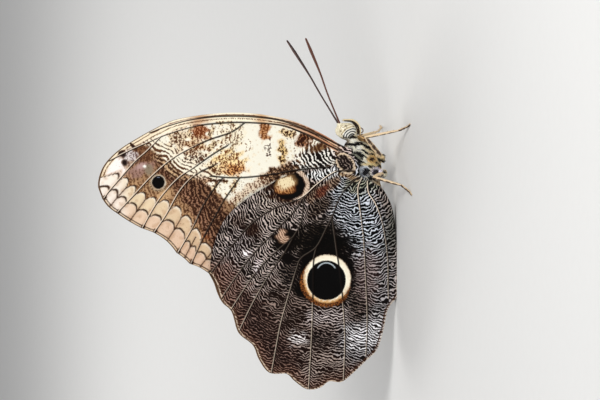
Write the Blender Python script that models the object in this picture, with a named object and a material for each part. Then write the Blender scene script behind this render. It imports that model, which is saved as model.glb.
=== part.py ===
"""An owl butterfly at rest with its wings closed over its back, life size, in metres, +Z up.

It stands on the floor at Z = 0 with its head towards +X, and its right side faces -Y.
Each part of the body is one closed object. Sizes and places are written in millimetres,
and a place on a wing is (X, Z), seen from the side.
"""

import math

import bmesh
import bpy
import numpy as np
from mathutils import Vector
from mathutils.geometry import delaunay_2d_cdt

MM = 0.001
GAP = 0.3
SIDES = {"right": -1, "left": 1}

# The body from neck to tail: X, height of its middle, half height, half width.
BODY = (
    (23.6, 13.4, 0.9, 0.9),
    (22.0, 12.9, 1.5, 1.4),
    (21.4, 12.5, 2.7, 2.3),
    (20.0, 11.7, 3.9, 3.2),
    (17.5, 10.7, 5.0, 4.0),
    (15.0, 9.9, 5.1, 4.1),
    (12.5, 9.1, 4.5, 3.8),
    (10.6, 8.4, 3.7, 3.2),
    (9.8, 8.1, 3.1, 2.7),
    (6.0, 7.1, 3.2, 3.1),
    (0.0, 5.9, 3.3, 3.3),
    (-8.0, 4.7, 2.8, 2.8),
    (-14.0, 3.9, 2.0, 2.0),
    (-18.0, 3.4, 1.1, 1.1),
    (-19.4, 3.2, 0.5, 0.5),
)
THORAX_ENDS = (22.0, 9.8)
ABDOMEN_ENDS = (9.5, -19.4)
ABDOMEN_RINGS = 8
RING_STEP = 0.93

# The head, given as the body is, and the places of what it carries.
HEAD = (
    (22.3, 13.7, 1.5, 1.3),
    (22.9, 14.5, 2.4, 1.9),
    (24.1, 15.1, 3.15, 2.3),
    (25.5, 15.3, 3.15, 2.3),
    (26.7, 15.2, 2.4, 1.7),
    (27.3, 15.1, 1.2, 0.9),
)
EYE_CENTRE = (25.0, 1.75, 15.1)
EYE_HALF = (2.1, 1.15, 2.5)
SOCKET_CENTRE = (26.9, 0.85, 17.3)
SOCKET_RADIUS = 0.6
ANTENNA_WAY = ((35.9, 5.0, 22.0), (41.8, 8.0, 24.8), (48.3, 11.3, 28.3), (52.45, 13.6, 30.6))
ANTENNA_RADII = (0.32, 0.27, 0.26, 0.27, 0.3, 0.42, 0.5, 0.3)
PALP_WAY = ((23.9, 0.95, 11.3), (26.1, 1.0, 11.5), (27.9, 1.0, 13.2), (28.2, 0.9, 15.9))
PALP_RADII = (0.42, 0.5, 0.5, 0.44, 0.28)
COIL_CENTRE = (25.0, 0.0, 10.75)
COIL_TURNS = 1.6
COIL_INNER = 0.35
COIL_PITCH = 0.5
COIL_RADIUS = 0.17

# Each leg: where it leaves the body, knee, ankle, heel and toe, and the radius at each of them.
LEGS = {
    "midleg": (((17.3, 3.5, 5.3), (23.0, 7.6, 11.0), (25.0, 14.2, 2.2), (26.2, 18.2, 0.26),
                (26.8, 20.4, 0.26)), (0.75, 0.55, 0.38, 0.31, 0.27)),
    "hindleg": (((12.0, 3.8, 4.9), (11.0, 9.5, 8.9), (8.6, 16.2, 1.9), (6.6, 20.2, 0.26),
                 (5.7, 22.4, 0.26)), (0.75, 0.55, 0.38, 0.31, 0.27)),
}
LEG_SPANS = ((6, 1.25), (6, 1.0), (5, 1.0), (3, 1.0))
COXA_RADIUS = 1.0
COXA_ROOTS = {"midleg": (17.0, 1.9, 7.0), "hindleg": (12.7, 1.7, 6.8)}
FORELEG_WAY = ((19.9, 2.1, 7.6), (21.4, 2.6, 8.7), (22.7, 2.6, 10.4), (23.5, 2.35, 11.5))
FORELEG_RADII = (0.45, 0.55, 0.5, 0.25)

# The wings: membrane and vein sizes.
MEMBRANE = 0.5
VEIN_RISE = (0.24, 0.11)
VEIN_HALF_WIDTH = (0.62, 0.36)
FORE_SPREAD = 0.8
FORE_TIP_SPREAD = 0.6
HIND_SPREAD = 1.25
OVER_FOREWING = 1.4
OVER_BODY = 0.9
LOBE = ((15.6, 16.0), 3.0, 0.55)
EDGE_STEP = 1.7
VEIN_STEP = 3.6
FIELD_STEP = 4.2

FORE_COSTA = (
    (19.4, 14.4), (20.8, 17.2), (23.5, 21.8), (26.2, 27.3), (28.2, 32.8), (29.4, 38.4),
    (30.2, 45.0), (30.3, 52.0), (29.5, 60.2), (28.0, 68.0), (25.1, 74.4), (22.3, 79.4),
    (19.7, 83.6), (16.6, 87.2), (13.2, 89.6), (8.7, 90.7), (4.6, 89.4),
)
# The forewing's vein ends on the outer margin, each with how far the edge before it draws in.
FORE_MARGIN = (
    ((0.5, 85.3), -0.4), ((-4.1, 77.7), -0.2), ((-5.4, 74.1), 0.0), ((-11.6, 66.9), 0.7),
    ((-14.9, 62.9), 0.2), ((-17.4, 57.6), 0.3), ((-19.5, 53.4), 0.0),
)
FORE_INNER = ((-19.5, 53.4), (-14.0, 45.0), (-5.0, 33.5), (4.0, 23.5), (10.5, 16.4), (13.2, 13.8))
FORE_VEINS = {
    "subcosta": ((20.2, 16.6), (23.2, 22.9), (26.0, 29.5), (28.2, 36.2), (29.2, 44.8),
                 (29.2, 54.6), (28.2, 63.2), (26.3, 70.2), (24.3, 75.7)),
    "radius": ((18.6, 16.4), (21.7, 23.3), (24.7, 29.7), (26.7, 35.8), (27.4, 45.7),
               (27.3, 52.6), (26.3, 61.7), (23.8, 70.4), (21.4, 76.1), (18.8, 82.0), (15.9, 87.9)),
    "radius_5": ((23.0, 72.3), (18.7, 76.5), (15.7, 80.0), (10.7, 84.5), (6.7, 88.0), (4.7, 89.4)),
    "media_1": ((27.3, 46.6), (24.5, 50.7), (22.1, 57.7), (18.7, 65.1), (15.7, 69.8),
                (11.3, 74.9), (6.6, 79.4), (0.5, 85.3)),
    "media_2": ((21.0, 50.9), (18.2, 55.8), (14.1, 61.8), (11.3, 66.1), (7.2, 70.3),
                (2.5, 73.9), (-4.1, 77.7)),
    "media_3": ((15.0, 54.9), (11.8, 61.5), (7.0, 66.3), (-0.2, 70.5), (-5.4, 74.1)),
    "cell_end": ((24.5, 50.7), (21.0, 50.9), (15.0, 54.9), (11.4, 57.3)),
    "cubitus": ((14.6, 17.4), (13.9, 23.3), (13.3, 30.1), (12.0, 37.5), (11.1, 45.0), (10.9, 51.0),
                (11.4, 57.3)),
    "cubitus_1": ((10.9, 53.2), (7.2, 56.2), (1.8, 59.6), (-2.7, 61.7), (-6.6, 63.9), (-11.6, 66.9)),
    "cubitus_2": ((11.0, 48.0), (4.4, 52.7), (-0.4, 55.4), (-7.4, 59.3), (-14.9, 62.9)),
    "anal": ((13.2, 16.6), (5.9, 27.5), (-4.6, 40.6), (-12.6, 51.0), (-17.4, 57.6)),
}

HIND_COSTA = (
    (11.9, 12.2), (14.6, 12.6), (17.4, 14.0), (18.7, 16.4), (17.6, 18.6), (15.2, 19.3),
    (13.6, 21.4), (13.4, 25.0), (13.2, 28.4), (12.1, 32.0), (10.4, 36.6), (8.8, 39.1),
    (5.1, 45.4), (0.6, 51.0), (-3.6, 54.0), (-9.3, 56.2), (-14.4, 57.2), (-17.5, 57.0),
)
HIND_MARGIN = (
    (-20.6, 55.3), (-24.4, 54.0), (-26.7, 52.7), (-29.2, 50.1), (-34.4, 48.5), (-36.5, 47.1),
    (-39.4, 43.5), (-43.6, 41.7), (-47.6, 38.5), (-47.9, 33.4), (-50.2, 30.7), (-52.6, 27.0),
    (-52.0, 23.4), (-50.2, 20.7), (-50.4, 17.0), (-47.8, 13.5), (-44.2, 9.6), (-40.6, 6.0),
    (-34.5, 4.0), (-28.7, 2.7), (-25.2, 0.0),
)
HIND_INNER = ((-10.8, 0.0), (-3.3, 0.6), (1.8, 1.5), (5.1, 3.0), (7.8, 4.9), (9.9, 8.6), (11.9, 12.2))
HIND_VEINS = {
    "costa": ((13.0, 14.4), (12.6, 19.2), (8.7, 24.9), (5.5, 28.6), (3.4, 32.8), (1.4, 38.4),
              (-2.0, 43.6), (-7.6, 49.1), (-17.5, 57.0)),
    "radius": ((5.5, 28.6), (1.1, 31.4), (-2.4, 34.8), (-6.3, 38.6), (-10.0, 42.4),
               (-14.5, 46.3), (-19.6, 50.0), (-25.7, 54.1)),
    "media_1": ((-6.8, 31.8), (-11.4, 37.2), (-16.5, 42.4), (-21.7, 46.2), (-28.8, 50.9)),
    "media_2": ((5.5, 28.6), (-2.5, 29.6), (-6.8, 31.8), (-11.8, 34.6), (-18.3, 39.2),
                (-26.4, 44.0), (-34.8, 48.2)),
    "cubitus": ((11.0, 12.4), (6.0, 17.0), (-0.9, 19.9), (-3.8, 21.4), (-9.9, 24.7),
                (-13.2, 29.3), (-16.6, 30.8), (-24.8, 33.3), (-32.9, 35.6), (-41.1, 37.2), (-48.1, 38.5)),
    "cubitus_1": ((-9.9, 24.7), (-14.4, 25.6), (-24.3, 25.8), (-34.8, 26.0), (-52.7, 27.0)),
    "cubitus_2": ((-0.9, 19.9), (-10.8, 18.5), (-22.8, 16.9), (-36.6, 15.9), (-50.2, 16.3)),
    "anal_1": ((10.6, 11.2), (7.0, 12.0), (-0.9, 11.0), (-9.3, 10.0), (-21.3, 9.4), (-31.8, 9.0),
               (-42.6, 9.4)),
    "anal_2": ((9.8, 9.4), (6.4, 9.0), (3.0, 7.0), (-3.3, 4.8), (-13.8, 3.0), (-25.4, 2.4)),
}

# Colour, roughness.
FINISHES = {
    "wing_scales": ((0.36, 0.27, 0.19), 0.75),
    "body_fur": ((0.33, 0.25, 0.16), 0.85),
    "cuticle": ((0.30, 0.20, 0.11), 0.5),
    "eye_glaze": ((0.16, 0.11, 0.07), 0.2),
}


def clear_scene():
    for obj in list(bpy.data.objects):
        bpy.data.objects.remove(obj)


def material(slot):
    """The material of that name, made once."""
    made = bpy.data.materials.get(slot)
    if made is None:
        colour, roughness = FINISHES[slot]
        made = bpy.data.materials.new(slot)
        made.use_nodes = True
        shader = made.node_tree.nodes["Principled BSDF"]
        shader.inputs["Base Color"].default_value = (*colour, 1.0)
        shader.inputs["Roughness"].default_value = roughness
    return made


def add_object(name, points, faces, slot, smooth=True):
    """A mesh object from points in millimetres."""
    mesh = bpy.data.meshes.new(name)
    mesh.from_pydata([Vector(p) * MM for p in points], [], faces)
    mesh.validate()
    mesh.materials.append(material(slot))
    if smooth:
        mesh.shade_smooth()
        mesh.set_sharp_from_angle(angle=math.radians(40))
    obj = bpy.data.objects.new(name, mesh)
    bpy.context.scene.collection.objects.link(obj)
    return obj


def spline(points, per_span):
    """Points on a Catmull-Rom curve through the given ones."""
    p = np.array(points, float)
    p = np.vstack([2 * p[0] - p[1], p, 2 * p[-1] - p[-2]])
    made = []
    for a, b, c, d in zip(p[:-3], p[1:-2], p[2:-1], p[3:]):
        for t in np.linspace(0, 1, per_span, endpoint=False):
            made.append(0.5 * (2 * b + (c - a) * t + (2 * a - 5 * b + 4 * c - d) * t**2
                               + (3 * b - a - 3 * c + d) * t**3))
    return np.array([*made, p[-2]])


def spaced(points, step):
    """The same polyline with its points about one step apart, its ends kept."""
    p = np.array(points, float)
    along = np.concatenate([[0], np.cumsum(np.linalg.norm(np.diff(p, axis=0), axis=1))])
    stops = np.linspace(0, along[-1], max(2, int(round(along[-1] / step)) + 1))
    return np.stack([np.interp(stops, along, p[:, i]) for i in range(p.shape[1])], axis=1)


def step_between(value, low, high):
    """0 below low, 1 above high, and smooth between them."""
    t = np.clip((value - low) / (high - low), 0, 1)
    return t * t * (3 - 2 * t)


BODY_CURVE = spline(BODY, 8)[::-1]


def body_at(x):
    """Height of the body's middle, its half height and its half width at X."""
    return [np.interp(x, BODY_CURVE[:, 0], BODY_CURVE[:, i]) for i in (1, 2, 3)]


def loft(stations, sides):
    """Rings of points round stations (X, middle Z, half height, half width), and their faces."""
    points, faces = [], []
    for x, middle, high, wide in stations:
        for k in range(sides):
            angle = 2 * math.pi * k / sides
            points.append((x, wide * math.sin(angle), middle + high * math.cos(angle)))
    for ring in range(len(stations) - 1):
        for k in range(sides):
            a, b = ring * sides + k, ring * sides + (k + 1) % sides
            faces.append((a, b, b + sides, a + sides))
    faces.append(tuple(range(sides))[::-1])
    faces.append(tuple(range(len(points) - sides, len(points))))
    return points, faces


def tube(way, radii, sides, floor=None):
    """A round bar along a smooth way. The radii are spread evenly over it."""
    way = np.array(way, float)
    radii = np.interp(np.linspace(0, 1, len(way)), np.linspace(0, 1, len(radii)), radii)
    heading = np.gradient(way, axis=0)
    heading /= np.linalg.norm(heading, axis=1)[:, None]
    across = np.cross(heading[0], (0.0, 0.0, 1.0))
    points, faces = [], []
    for centre, ahead, radius in zip(way, heading, radii):
        across = across - ahead * across.dot(ahead)
        across /= np.linalg.norm(across)
        upward = np.cross(across, ahead)
        for k in range(sides):
            angle = 2 * math.pi * (k + 0.5) / sides
            p = centre + radius * (across * math.cos(angle) + upward * math.sin(angle))
            if floor is not None:
                p[2] = max(p[2], floor)
            points.append(tuple(p))
    for ring in range(len(way) - 1):
        for k in range(sides):
            a, b = ring * sides + k, ring * sides + (k + 1) % sides
            faces.append((a, a + sides, b + sides, b))
    faces.append(tuple(range(sides)))
    faces.append(tuple(range(len(points) - sides, len(points)))[::-1])
    return points, faces


def ball(centre, half, rings, sides):
    """An ellipsoid's points and faces, its poles along Y."""
    points = [(centre[0], centre[1] - half[1], centre[2])]
    for i in range(1, rings):
        tilt = math.pi * i / rings
        for k in range(sides):
            angle = 2 * math.pi * k / sides
            points.append((
                centre[0] + half[0] * math.sin(tilt) * math.cos(angle),
                centre[1] - half[1] * math.cos(tilt),
                centre[2] + half[2] * math.sin(tilt) * math.sin(angle),
            ))
    points.append((centre[0], centre[1] + half[1], centre[2]))
    faces = [(0, 1 + k, 1 + (k + 1) % sides) for k in range(sides)]
    for i in range(rings - 2):
        for k in range(sides):
            a, b = 1 + i * sides + k, 1 + i * sides + (k + 1) % sides
            faces.append((a, a + sides, b + sides, b))
    last, top = 1 + (rings - 2) * sides, len(points) - 1
    faces += [(last + (k + 1) % sides, last + k, top) for k in range(sides)]
    return points, faces


def outward(obj):
    """Turns every face of a closed mesh to point out."""
    shape = bmesh.new()
    shape.from_mesh(obj.data)
    bmesh.ops.recalc_face_normals(shape, faces=shape.faces)
    shape.to_mesh(obj.data)
    shape.free()
    return obj


def combine(target, others, operation):
    """Joins the other objects to target, or cuts them from it, and removes them."""
    group = bpy.data.collections.new(target.name + "_pieces")
    for other in others:
        group.objects.link(outward(other))
    cut = outward(target).modifiers.new("join", "BOOLEAN")
    cut.operation = operation
    cut.operand_type = "COLLECTION"
    cut.collection = group
    cut.solver = "EXACT"
    graph = bpy.context.evaluated_depsgraph_get()
    made = bpy.data.meshes.new_from_object(target.evaluated_get(graph))
    target.modifiers.clear()
    target.data = made
    for other in list(group.objects):
        bpy.data.objects.remove(other)
    bpy.data.collections.remove(group)


def sided(places, side):
    """The same places on one side of the body."""
    return [(x, y * SIDES[side], z) for x, y, z in places]


# The wings.


def margin(start, spans, step):
    """An outer margin from start through the vein ends, drawn in between each two of them."""
    points = [np.array(start, float)]
    for end, sag in spans:
        a, b = points[-1], np.array(end, float)
        along = b - a
        inward = np.array((along[1], -along[0])) / np.linalg.norm(along)
        count = max(2, int(round(np.linalg.norm(along) / step)))
        for k in range(1, count + 1):
            t = k / count
            points.append(a + along * t - inward * sag * math.sin(math.pi * t))
    return np.array(points)


def fore_outline(step):
    costa = spaced(spline(FORE_COSTA, 6), step)
    outer = margin(FORE_COSTA[-1], FORE_MARGIN, step)
    inner = spaced(spline(FORE_INNER, 6), step * 1.6)
    return np.vstack([costa, outer[1:], inner[1:]])


def hind_outline(step):
    costa = spaced(spline(HIND_COSTA, 6), step)
    outer = spaced(spline((HIND_COSTA[-1], *HIND_MARGIN), 6), step)
    inner = spaced(spline(HIND_INNER, 6), step * 1.3)
    return np.vstack([costa, outer[1:], inner[:-1]])


def body_swell(x, z, spread):
    """How much further out than spread a wing lies to pass over the body."""
    middle, high, wide = body_at(x)
    past_tail = step_between(x, -27.0, -18.0)
    past_head = 1 - step_between(x, 22.0, 30.0)
    need = np.maximum(wide + OVER_BODY - spread, 0) * past_tail * past_head
    return need * np.exp(-(((z - middle) / (1.15 * np.maximum(high, 2.2))) ** 2))


def fore_place(x, z):
    """Distance of the forewing's middle layer from the plane of symmetry."""
    spread = FORE_SPREAD + FORE_TIP_SPREAD * step_between(z, 56.0, 92.0)
    return spread + body_swell(x, z, spread)


def hind_place(x, z):
    """Distance of the hindwing's middle layer from the plane of symmetry."""
    (ax, az), (bx, bz) = FORE_INNER[-1], FORE_INNER[0]
    length = math.hypot(bx - ax, bz - az)
    past_edge = ((x - ax) * (bz - az) - (z - az) * (bx - ax)) / length
    over = step_between(past_edge, -6.0, -1.0)
    alone = HIND_SPREAD + body_swell(x, z, HIND_SPREAD)
    return alone + (np.maximum(fore_place(x, z) + OVER_FOREWING, alone) - alone) * over


def lobe_rise(x, z):
    """The bulge of the hindwing's shoulder, outwards only."""
    (cx, cz), radius, rise = LOBE
    away = np.hypot(x - cx, z - cz) / radius
    return rise * np.clip(1 - away**2, 0, 1)


def vein_lines(veins):
    """Each vein as evenly spaced points with its half width and rise at each."""
    lines = []
    for points in veins.values():
        line = spaced(spline(points, 6), VEIN_STEP)
        share = np.linspace(0, 1, len(line))
        lines.append((line, np.interp(share, (0, 1), VEIN_HALF_WIDTH),
                      np.interp(share, (0, 1), VEIN_RISE)))
    return lines


def vein_height(x, z, lines):
    """Rise of the wing's surface over its membrane, from the nearest vein."""
    best = np.zeros(len(x))
    here = np.stack([x, z], axis=1)
    for line, half, rise in lines:
        for i in range(len(line) - 1):
            a, b = line[i], line[i + 1]
            t = np.clip((here - a) @ (b - a) / ((b - a) @ (b - a)), 0, 1)
            away = np.linalg.norm(here - a - t[:, None] * (b - a), axis=1)
            width = half[i] + (half[i + 1] - half[i]) * t
            high = rise[i] + (rise[i + 1] - rise[i]) * t
            best = np.maximum(best, high * np.clip(1 - away / width, 0, 1))
    return best


def distance_to(here, lines):
    """Distance of each place from the nearest of the polylines."""
    best = np.full(len(here), np.inf)
    for line in lines:
        for a, b in zip(line[:-1], line[1:]):
            t = np.clip((here - a) @ (b - a) / max((b - a) @ (b - a), 1e-9), 0, 1)
            best = np.minimum(best, np.linalg.norm(here - a - t[:, None] * (b - a), axis=1))
    return best


def inside(here, outline):
    """True for each place inside the closed outline."""
    found = np.zeros(len(here), bool)
    for (ax, az), (bx, bz) in zip(outline, np.roll(outline, -1, axis=0)):
        crosses = (az > here[:, 1]) != (bz > here[:, 1])
        rise = bz - az if bz != az else 1.0
        at = ax + (here[:, 1] - az) / rise * (bx - ax)
        found ^= crosses & (here[:, 0] < at)
    return found


def wing_plan(outline, lines):
    """A flat triangulation whose edges follow the outline and both feet and the crest of each vein."""
    points = [tuple(p) for p in outline]
    count = len(points)
    edges = [(k, (k + 1) % count) for k in range(count)]
    rails = []
    for line, half, _ in lines:
        along = np.gradient(line, axis=0)
        along /= np.linalg.norm(along, axis=1)[:, None]
        beside = np.stack([-along[:, 1], along[:, 0]], axis=1) * half[:, None]
        rails += [line, line + beside, line - beside]
    for rail in rails:
        kept = inside(rail, outline)
        previous = None
        for p, keep in zip(rail, kept):
            if not keep:
                previous = None
                continue
            points.append(tuple(p))
            if previous is not None:
                edges.append((previous, len(points) - 1))
            previous = len(points) - 1
    low, high = outline.min(axis=0), outline.max(axis=0)
    field = []
    rows = int((high[1] - low[1]) / (FIELD_STEP * 0.87)) + 1
    for row in range(rows):
        shift = FIELD_STEP / 2 * (row % 2)
        for x in np.arange(low[0] + shift, high[0], FIELD_STEP):
            field.append((x, low[1] + row * FIELD_STEP * 0.87))
    field = np.array(field)
    ring = np.vstack([outline, outline[:1]])
    clear = inside(field, outline) & (distance_to(field, [ring]) > 1.3)
    clear &= distance_to(field, [line for line, _, _ in lines]) > 1.5
    points += [tuple(p) for p in field[clear]]
    flat, _, triangles, *_ = delaunay_2d_cdt([Vector(p) for p in points], edges, [], 1, 1e-4)
    return np.array([tuple(p) for p in flat]), [tuple(t) for t in triangles]


def add_wing(name, side, outline, veins, place, lobe=None):
    lines = vein_lines(veins)
    flat, triangles = wing_plan(outline, lines)
    x, z = flat[:, 0], flat[:, 1]
    middle = place(x, z)
    half = MEMBRANE / 2 + vein_height(x, z, lines)
    outer = middle + half + (lobe(x, z) if lobe else 0)
    inner = middle - half
    way = SIDES[side]
    count = len(flat)
    points = [(px, way * y, pz) for px, y, pz in zip(x, outer, z)]
    points += [(px, way * y, pz) for px, y, pz in zip(x, inner, z)]
    faces, rim = [], {}
    for a, b, c in triangles:
        faces += [(a, b, c), (c + count, b + count, a + count)]
        for edge in ((a, b), (b, c), (c, a)):
            rim[edge] = rim.get(edge, 0) + 1
            rim[edge[::-1]] = rim.get(edge[::-1], 0) - 1
    for (a, b), turns in rim.items():
        if turns == 1:
            faces += [(b, a, a + count), (b, a + count, b + count)]
    return outward(add_object(name, points, faces, "wing_scales", smooth=False))


def add_wings():
    for side in SIDES:
        add_wing("forewing_" + side, side, fore_outline(EDGE_STEP), FORE_VEINS, fore_place)
        add_wing("hindwing_" + side, side, hind_outline(EDGE_STEP), HIND_VEINS, hind_place, lobe_rise)


# The body.


def add_thorax():
    front, back = THORAX_ENDS
    stations = [s for s in spline(BODY, 2) if back <= s[0] <= front]
    thorax = add_object("thorax", *loft(stations, 22), "body_fur")
    coxae = []
    for leg, root in COXA_ROOTS.items():
        for side in SIDES:
            (start, knee, *_), _ = LEGS[leg]
            ahead = heading(start, knee)
            way = sided([root, *(tuple(np.array(start) - back * ahead) for back in (1.0, 0.5, 0.0))], side)
            radii = (COXA_RADIUS, COXA_RADIUS, LEGS[leg][1][0] + 0.1)
            coxae.append(add_object("coxa", *tube(way, radii, 10), "body_fur"))
    combine(thorax, coxae, "UNION")


def add_abdomen():
    front, back = ABDOMEN_ENDS
    stations = []
    for ring in range(ABDOMEN_RINGS):
        for share, size in ((0.0, RING_STEP), (0.12, 1.0), (0.85, 0.98)):
            x = front + (back - front) * (ring + share) / ABDOMEN_RINGS
            middle, high, wide = body_at(x)
            stations.append((x, middle, high * size, wide * size))
    stations.append((back, *body_at(back)))
    add_object("abdomen", *loft(stations, 18), "body_fur")


def add_head():
    stations = spaced(spline(HEAD, 6), 0.62)
    head = add_object("head", *loft(stations, 20), "body_fur")
    sockets, eyes = [], []
    for side in SIDES:
        (centre,) = sided([EYE_CENTRE], side)
        (scape,) = sided([SOCKET_CENTRE], side)
        hollow = tuple(h + GAP for h in EYE_HALF)
        eyes.append(add_object("hollow", *ball(centre, hollow, 10, 16), "body_fur"))
        sockets.append(add_object("scape", *ball(scape, (SOCKET_RADIUS,) * 3, 6, 8), "body_fur"))
        add_object("eye_" + side, *ball(centre, EYE_HALF, 12, 18), "eye_glaze")
    combine(head, sockets, "UNION")
    combine(head, eyes, "DIFFERENCE")


def heading(start, end):
    """The direction from one place to another."""
    way = np.array(end, float) - np.array(start, float)
    return way / np.linalg.norm(way)


def add_feelers():
    for side in SIDES:
        root = np.array(SOCKET_CENTRE)
        start = root + heading(root, ANTENNA_WAY[0]) * (SOCKET_RADIUS + GAP)
        way = spline(sided([tuple(start), *ANTENNA_WAY], side), 5)
        add_object("antenna_" + side, *tube(way, ANTENNA_RADII, 8), "cuticle")
        way = spline(sided(PALP_WAY, side), 4)
        add_object("palp_" + side, *tube(way, PALP_RADII, 8), "body_fur")


def add_proboscis():
    count = int(COIL_TURNS * 16)
    way = []
    for k in range(count + 1):
        angle = 2 * math.pi * COIL_TURNS * k / count
        radius = COIL_INNER + COIL_PITCH * angle / (2 * math.pi)
        way.append((COIL_CENTRE[0] + radius * math.cos(angle), 0.0,
                    COIL_CENTRE[2] + radius * math.sin(angle)))
    add_object("proboscis", *coil_tube(way), "cuticle")


def coil_tube(way):
    """The coiled tongue's own bar, in rings that stay square to the coil's plane."""
    sides = 6
    points, faces = [], []
    for k, centre in enumerate(way):
        before, after = way[max(k - 1, 0)], way[min(k + 1, len(way) - 1)]
        ahead = heading(before, after)
        out = np.array((ahead[2], 0.0, -ahead[0]))
        for j in range(sides):
            angle = 2 * math.pi * j / sides
            p = np.array(centre) + COIL_RADIUS * math.cos(angle) * out
            points.append((p[0], 1.3 * COIL_RADIUS * math.sin(angle), p[2]))
    for ring in range(len(way) - 1):
        for j in range(sides):
            a, b = ring * sides + j, ring * sides + (j + 1) % sides
            faces.append((a, a + sides, b + sides, b))
    faces.append(tuple(range(sides)))
    faces.append(tuple(range(len(points) - sides, len(points)))[::-1])
    return points, faces


def add_legs():
    for leg, (joints, radii) in LEGS.items():
        for side in SIDES:
            places = [np.array(p) for p in sided(joints, side)]
            places[0] = places[0] + heading(places[0], places[1]) * GAP
            way, sizes = [], []
            for i, (count, swell) in enumerate(LEG_SPANS):
                for k in range(count):
                    t = (k + (0.0 if i == 0 else 0.35)) / count
                    size = radii[i] + (radii[i + 1] - radii[i]) * t
                    way.append(places[i] + (places[i + 1] - places[i]) * t)
                    sizes.append(size * (1 + (swell - 1) * math.sin(math.pi * t)))
            way.append(places[-1])
            sizes.append(radii[-1])
            add_object(f"{leg}_{side}", *tube(way, sizes, 8, floor=0.0), "cuticle")
    for side in SIDES:
        way = spline(sided(FORELEG_WAY, side), 3)
        add_object("foreleg_" + side, *tube(way, FORELEG_RADII, 8), "body_fur")


def main():
    clear_scene()
    add_wings()
    add_thorax()
    add_abdomen()
    add_head()
    add_feelers()
    add_proboscis()
    add_legs()
    for obj in bpy.data.objects:
        outward(obj)


main()
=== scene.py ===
"""An owl butterfly at rest with its wings closed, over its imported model.

Lengths are in millimetres. The head is towards +X, +Z is up, and a place on a wing is (X, Z).
"""

import math

import bmesh
import bpy
import numpy as np
from mathutils import Matrix, Vector
from mathutils.geometry import delaunay_2d_cdt

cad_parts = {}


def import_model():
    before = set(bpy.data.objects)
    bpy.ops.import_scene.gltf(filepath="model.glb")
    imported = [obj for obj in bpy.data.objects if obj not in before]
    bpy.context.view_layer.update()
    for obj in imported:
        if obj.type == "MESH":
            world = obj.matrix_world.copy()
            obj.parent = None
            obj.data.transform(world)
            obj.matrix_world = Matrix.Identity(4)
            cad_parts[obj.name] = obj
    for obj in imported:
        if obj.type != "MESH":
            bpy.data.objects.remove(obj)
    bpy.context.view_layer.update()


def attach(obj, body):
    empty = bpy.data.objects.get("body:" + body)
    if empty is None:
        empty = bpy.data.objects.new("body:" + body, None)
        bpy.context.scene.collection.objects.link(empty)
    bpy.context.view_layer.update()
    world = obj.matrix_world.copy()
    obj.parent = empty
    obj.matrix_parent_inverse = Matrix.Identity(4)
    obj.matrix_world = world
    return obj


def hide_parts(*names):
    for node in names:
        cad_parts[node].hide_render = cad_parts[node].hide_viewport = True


MM = 0.001
SIDES = {"right": -1, "left": 1}

# The body from neck to tail: X, height of its middle, half height, half width.
BODY = (
    (23.6, 13.4, 0.9, 0.9),
    (22.0, 12.9, 1.5, 1.4),
    (21.4, 12.5, 2.7, 2.3),
    (20.0, 11.7, 3.9, 3.2),
    (17.5, 10.7, 5.0, 4.0),
    (15.0, 9.9, 5.1, 4.1),
    (12.5, 9.1, 4.5, 3.8),
    (10.6, 8.4, 3.7, 3.2),
    (9.8, 8.1, 3.1, 2.7),
    (6.0, 7.1, 3.2, 3.1),
    (0.0, 5.9, 3.3, 3.3),
    (-8.0, 4.7, 2.8, 2.8),
    (-14.0, 3.9, 2.0, 2.0),
    (-18.0, 3.4, 1.1, 1.1),
    (-19.4, 3.2, 0.5, 0.5),
)
# The neck and the head, given as the body is, and the places of what the head carries.
NECK = ((20.5, 12.6, 1.9, 1.8), (22.0, 13.1, 1.9, 1.7), (23.5, 14.2, 2.2, 1.8))
HEAD = (
    (22.3, 13.7, 1.5, 1.3),
    (22.9, 14.5, 2.4, 1.9),
    (24.1, 15.1, 3.15, 2.3),
    (25.5, 15.3, 3.15, 2.3),
    (26.7, 15.2, 2.4, 1.7),
    (27.3, 15.1, 1.2, 0.9),
)
EYE_CENTRE = (25.0, 1.75, 15.1)
EYE_HALF = (2.1, 1.15, 2.5)
EYE_GAP = 0.05
EYE_SEAT = 0.4
SOCKET_CENTRE = (26.9, 0.85, 17.3)
SOCKET_RADIUS = 0.6
ANTENNA_WAY = ((35.9, 5.0, 22.0), (41.8, 8.0, 24.8), (48.3, 11.3, 28.3), (52.45, 13.6, 30.6))
ANTENNA_RADII = (0.32, 0.27, 0.26, 0.27, 0.3, 0.42, 0.5, 0.3)
ANTENNA_STEP = 0.155
ANTENNA_SEGMENT = 0.62
COIL_CENTRE = (25.0, 0.0, 10.75)
COIL_TURNS = 1.6
COIL_INNER = 0.35
COIL_PITCH = 0.5
COIL_RADIUS = 0.17

# Each leg: where it leaves the body, knee, ankle, heel and toe, and the radius at each of them.
LEGS = {
    "midleg": (((17.3, 3.5, 5.3), (23.0, 7.6, 11.0), (25.0, 14.2, 2.2), (26.2, 18.2, 0.26),
                (26.8, 20.4, 0.26)), (0.75, 0.55, 0.38, 0.31, 0.27)),
    "hindleg": (((12.0, 3.8, 4.9), (11.0, 9.5, 8.9), (8.6, 16.2, 1.9), (6.6, 20.2, 0.26),
                 (5.7, 22.4, 0.26)), (0.75, 0.55, 0.38, 0.31, 0.27)),
}
# The turn at which the dark line runs on each leg's thigh, and beyond it.
LEG_LINES = {"midleg": (-0.42, -0.25), "hindleg": (-1.1, 1.05)}
THIGH_SWELL = 0.25
FOOT_BEADS = (3, 2)
LIMB_SIDES = 14
# The leg's spans that carry spines, with how many, and the length and half width of spines and claws.
SPINES = ((1, 16), (2, 14))
SPINE_SIZE = (0.5, 0.05)
CLAW_SIZE = (0.55, 0.09)
COXA_ROOTS = {"midleg": (17.0, 1.9, 7.0), "hindleg": (12.7, 1.7, 6.8)}
COXA_RADII = (0.9, 1.0, 0.95)
COXA_SIDES = 12

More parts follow.
